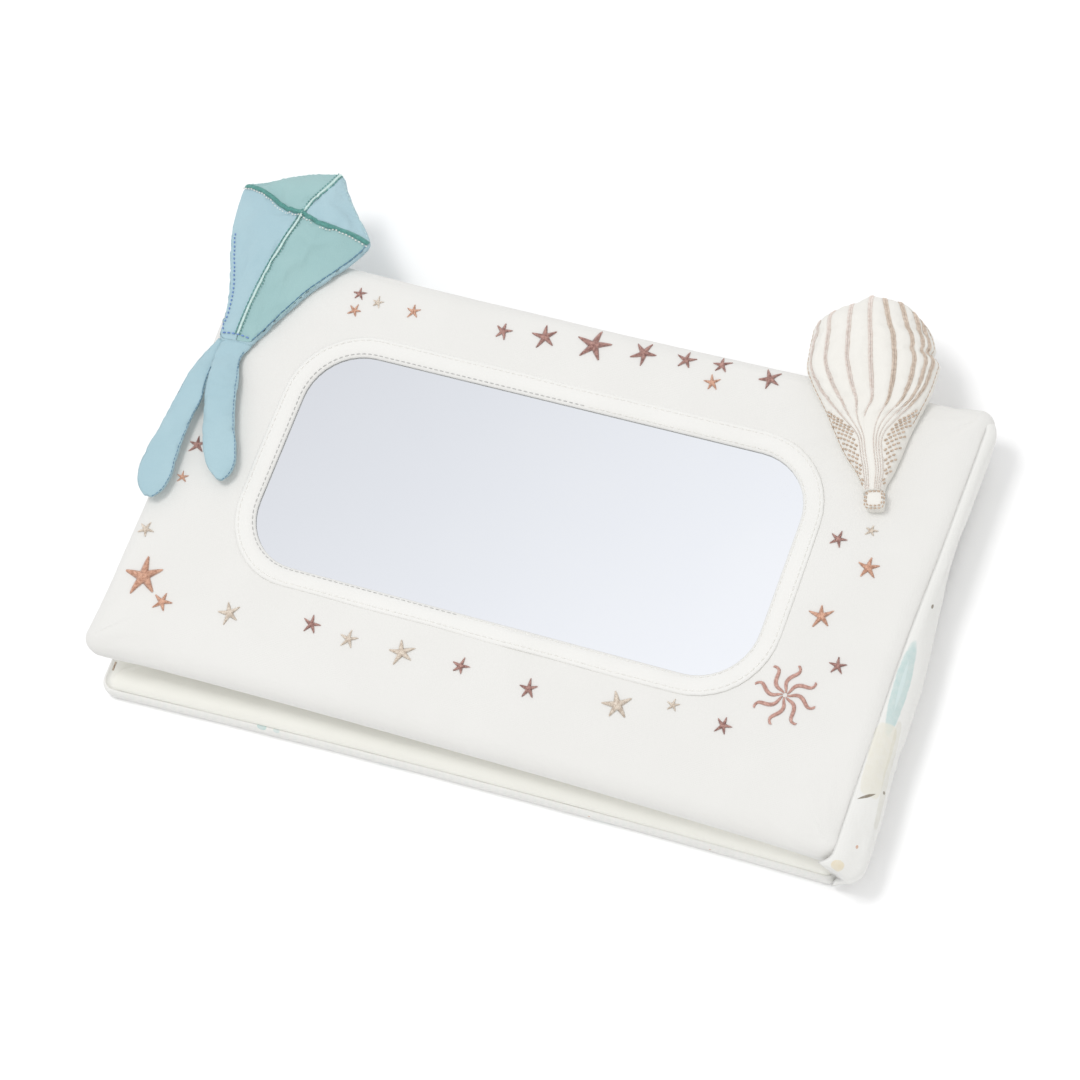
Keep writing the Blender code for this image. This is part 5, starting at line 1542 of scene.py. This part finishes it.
def spread_at_top(shares):
    """Above TOP_FROM each rib heads for its own place on the outline, and from there it runs along it:
    s / (1 + s ** 12) ** (1 / 12) keeps every share below 1."""
    left, right = balloon_edges(along[:, None])
    middle, half = (left + right) / 2, (right - left) / 2
    start = np.argmax(along > TOP_FROM)
    rise = np.clip((along - along[start]) / (1 - along[start]), 0, 1)[:, None]
    base = middle[start] + half[start] * shares[start]
    goal = base + (np.interp(steps, knots, RIB_TOPS) - base) * rise
    s = np.clip((goal - middle) / half, -4, 4)
    kept = 0.96 * s / (1 + s**12) ** (1 / 12) + 0.025 * np.arctan(s)
    return shares + (kept - shares) * smooth_step(rise / 0.3)


steps = np.arange((len(RIBS) - 1) * LOBE_STEPS + 1) / LOBE_STEPS
knots = np.arange(len(RIBS))
along = 0.09 + 0.91 * (1 - (1 - np.linspace(0, 1, BALLOON_ROWS)) ** 1.35)
envelope = np.clip(np.interp(along, ENVELOPE_ALONG, ENVELOPE), 0.1, 0.95)
envelope = np.convolve(np.pad(envelope, 3, mode="edge"), np.full(7, 1 / 7), mode="valid")[:, None]
gathered = smooth_step((along[:, None] - 0.36) / 0.14)
inner = np.interp(steps, knots, RIBS) * gathered + np.interp(steps, knots, NECK_RIBS) * (1 - gathered)
inner = spread_at_top(inner * envelope)
outer = np.linspace(0, 1, NET_STEPS + 1)[1:]
first, last = -inner[:, :1], inner[:, -1:]
before, after = -(first + (1 - first) * outer)[:, ::-1], last + (1 - last) * outer
share = np.concatenate([before, inner, after], axis=1)
RIB_ENDS = [along[np.abs(inner[:, knot * LOBE_STEPS]) < 0.955].max() for knot in range(len(RIBS))]
lobe = np.concatenate([outer * 0, np.sin(np.pi * (steps % 1)) ** 0.85, outer * 0])
fade = np.clip((envelope - 0.3) / 0.4, 0, 1)
face = balloon_face(along[:, None], share, 0.9 * MM * lobe * fade)
left, right = face[:, :1], face[:, -1:]


def side_wall(edge, outward):
    """Three points down a side wall that stands out a little."""
    return edge + np.array([(0.35, 0, -0.9), (0.45, 0, -2.0), (0.1, 0, -3.1)]) * MM * [outward, 1, 1]


back_share = np.linspace(1, 0, BACK_STEPS)[None, :, None]
under = left * (1 - back_share) + right * back_share
under[..., 2] = TOY_BACK
middle_line = (left + right) / 2
under[..., :2] = middle_line[..., :2] + (under[..., :2] - middle_line[..., :2]) * 0.96
grid = np.concatenate([face, side_wall(right, 1), under, side_wall(left, -1)[:, ::-1]], axis=1)
FACE_COLUMNS = share.shape[1]
poles = (grid[0].mean(axis=0), grid[-1].mean(axis=0))
balloon, world_grid, _ = cushion(
    "balloon_stuffed_body", grid, poles, BALLOON_FRAME, CREAM, "balloon"
)
rib_columns = NET_STEPS + np.arange(len(RIBS)) * LOBE_STEPS
back_columns = FACE_COLUMNS + 3 + np.arange(BACK_STEPS)
sewn = np.concatenate([rib_columns, back_columns, [0, FACE_COLUMNS - 1]])
held = held_at(grid.shape, (True, True), np.s_[:, sewn], (along < 0.42) | (along > 0.9))
moves = fill_cover(balloon, held, pressure=7.0, cap=1.4 * MM, slack=0.02)
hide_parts("balloon_front", "balloon_back", "balloon_filling")
report(balloon, moves)

# %% [markdown]
# ## The balloon's ribs, nets and basket
# Each rib is a double row of tan stitches, paler on the left; the darker thread on the right ribs above
# the neck is painted shade in their grooves. All of them draw together at the neck and run on down to the
# basket beside a band of plain cloth. The nets are rows of short dashes, set like bricks, and the basket
# is a small block of the same cloth with a stitched outline.

# %% Rib stitches
balloon_grid = coordinates(balloon.data)[:-2].reshape(world_grid.shape)
balloon_outs = grid_normals(balloon_grid)


def balloon_path(alongs, columns_at, lift=LIFT):
    """A path over the balloon's face, by the share of its length and by column."""
    rows = np.interp(alongs, along, np.arange(BALLOON_ROWS))
    return path_on(balloon_grid, balloon_outs, rows, columns_at, lift)


def rib_batches(number, width, gap, low, high=1.0):
    """Two rows of satin stitch on the cloth on either side of a rib. They close up where the ribs draw
    together, and stop where the rib meets the outline."""
    made = []
    alongs = np.linspace(low, min(high, RIB_ENDS[number]), 200)
    middle, _ = balloon_path(alongs, rib_columns[number])
    open_up = 0.2 + 0.8 * smooth_step((alongs - 0.38) / 0.2)
    for side in (-1, 1):
        beside, _ = balloon_path(alongs, rib_columns[number] + 0.5 * side)
        column_width = 2 * np.linalg.norm(beside - middle, axis=1)
        shift = np.minimum(gap * (open_up - 0.05) * MM / column_width, 2.0)
        line, outs = balloon_path(alongs, rib_columns[number] + side * shift)
        widths = width * (0.05 + 0.95 * open_up) * MM
        made.append(satin(line, outs, widths, 0.58 * MM, 0.23 * MM, slant=0.9, puff=0.25))
    return made


NECK_TOP, PALE, TAN = 0.46, (0.42, 0.45), (0.46, 0.48)
PALE_RIBS = [(number, *PALE, 0.1) for number in range(3)] + [(3, *PALE, 0.41)]
PALE_RIBS += [(number, *PALE, 0.1, NECK_TOP) for number in range(4, 8)]
# The right ribs above the neck take the darker tan thread, which is painted shade in their grooves.
PAINTED_SHADE_RIBS = [(number, *TAN, NECK_TOP) for number in range(4, 8)]
pale_batches = sum([rib_batches(*rib) for rib in PALE_RIBS], [])
painted_shade_rib_batches = sum([rib_batches(*rib) for rib in PAINTED_SHADE_RIBS], [])
ribs = sew("balloon_rib_stitches", painted_shade_rib_batches, "tan", "balloon")
pale_ribs = sew("balloon_pale_rib_stitches", pale_batches, "pale_tan", "balloon")
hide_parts(*[f"balloon_rib_{number}" for number in range(1, 8)])
report(ribs)
report(pale_ribs)

# %% Net stitches
LEFT_NET, RIGHT_NET = (0.2, NET_STEPS - 0.6), (FACE_COLUMNS - 1.3, FACE_COLUMNS - NET_STEPS - 0.4)
for side, (edge_column, neck_column) in (("left", LEFT_NET), ("right", RIGHT_NET)):
    starts, ends, outs = [], [], []
    slide = np.linspace(0, 1, 40)
    for row, place in enumerate(np.linspace(0.11, 0.385, 14)):
        columns_at = edge_column + (neck_column - edge_column) * slide
        path, normal = balloon_path(place + 0.22 * place * (1 - slide), columns_at, 0.05 * MM)
        batch = running_stitch(path, normal, 1.3 * MM, 0.55 * MM, 0.4 * MM)
        starts.append(batch[0][row % 2 :])
        ends.append(batch[1][row % 2 :])
        outs.append(batch[2][row % 2 :])
    batch = (np.vstack(starts), np.vstack(ends), np.vstack(outs), 0.38 * MM, 0.3 * MM)
    net = sew(f"balloon_net_stitches_{side}", [batch], "brown", "balloon")
    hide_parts(f"balloon_net_{side}")
    report(net)

# %% Stitches along its side seams
batches = []
for column, low, high in ((0.15, 0.12, 0.9), (FACE_COLUMNS - 1.15, 0.4, 0.93)):
    path, normal = balloon_path(np.linspace(low, high, 240), column, 0.0)
    batches.append(running_stitch(path, normal, 1.6 * MM, 0.3 * MM, 0.17 * MM))
seams = sew("balloon_seam_stitches", batches, "brown", "balloon")
report(seams)

# %% The basket
BASKET, BASKET_CENTRE = np.array([3.4, 3.3]) * MM, np.array([0.5, 4.3]) * MM
BASKET_SIDES = 48
turnings = np.linspace(0, 2 * math.pi, BASKET_SIDES, endpoint=False)
square = 1 / (np.abs(np.cos(turnings)) ** 5 + np.abs(np.sin(turnings)) ** 5) ** 0.2
rim = np.column_stack([np.cos(turnings), np.sin(turnings)]) * square[:, None] * BASKET
BASKET_ROWS = (
    (0.6, -3.7), (0.88, -3.6), (0.97, -3.0), (1.0, -1.5), (1.0, 0.4), (0.97, 1.5), (0.88, 2.1),
    (0.7, 2.4), (0.4, 2.55),
)
rows = []
for share, height in BASKET_ROWS:
    rows.append(np.column_stack([BASKET_CENTRE + rim * share, np.full(BASKET_SIDES, height * MM)]))
poles = [np.array([*BASKET_CENTRE, height]) for height in (TOY_BACK, 2.6 * MM)]
basket, world_grid, _ = cushion(
    "balloon_basket_pad", np.array(rows), poles, BALLOON_FRAME, CREAM, "balloon"
)
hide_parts("balloon_basket")
batches = []
for row in (4.9, 6.4):
    path, outs = path_on(world_grid, grid_normals(world_grid), row, np.linspace(0, BASKET_SIDES, 120))
    batches.append(running_stitch(path, outs, 1.0 * MM, 0.45 * MM, 0.34 * MM))
rims = sew("balloon_basket_stitches", batches, "brown", "balloon")
report(basket)
report(rims)

# %% [markdown]
# ## The size of the dressed model
# The dressed model has to stay the size of the CAD model. Both boxes are worked out, and their difference
# is printed.

# %% The dressed model's size
DRESSED_BOX = [list(corner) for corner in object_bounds()]
grown = np.array(DRESSED_BOX) - np.array(CAD_BOX)
print("the dressed box differs from the CAD box by, mm:", np.round(grown * 1000, 1).tolist())
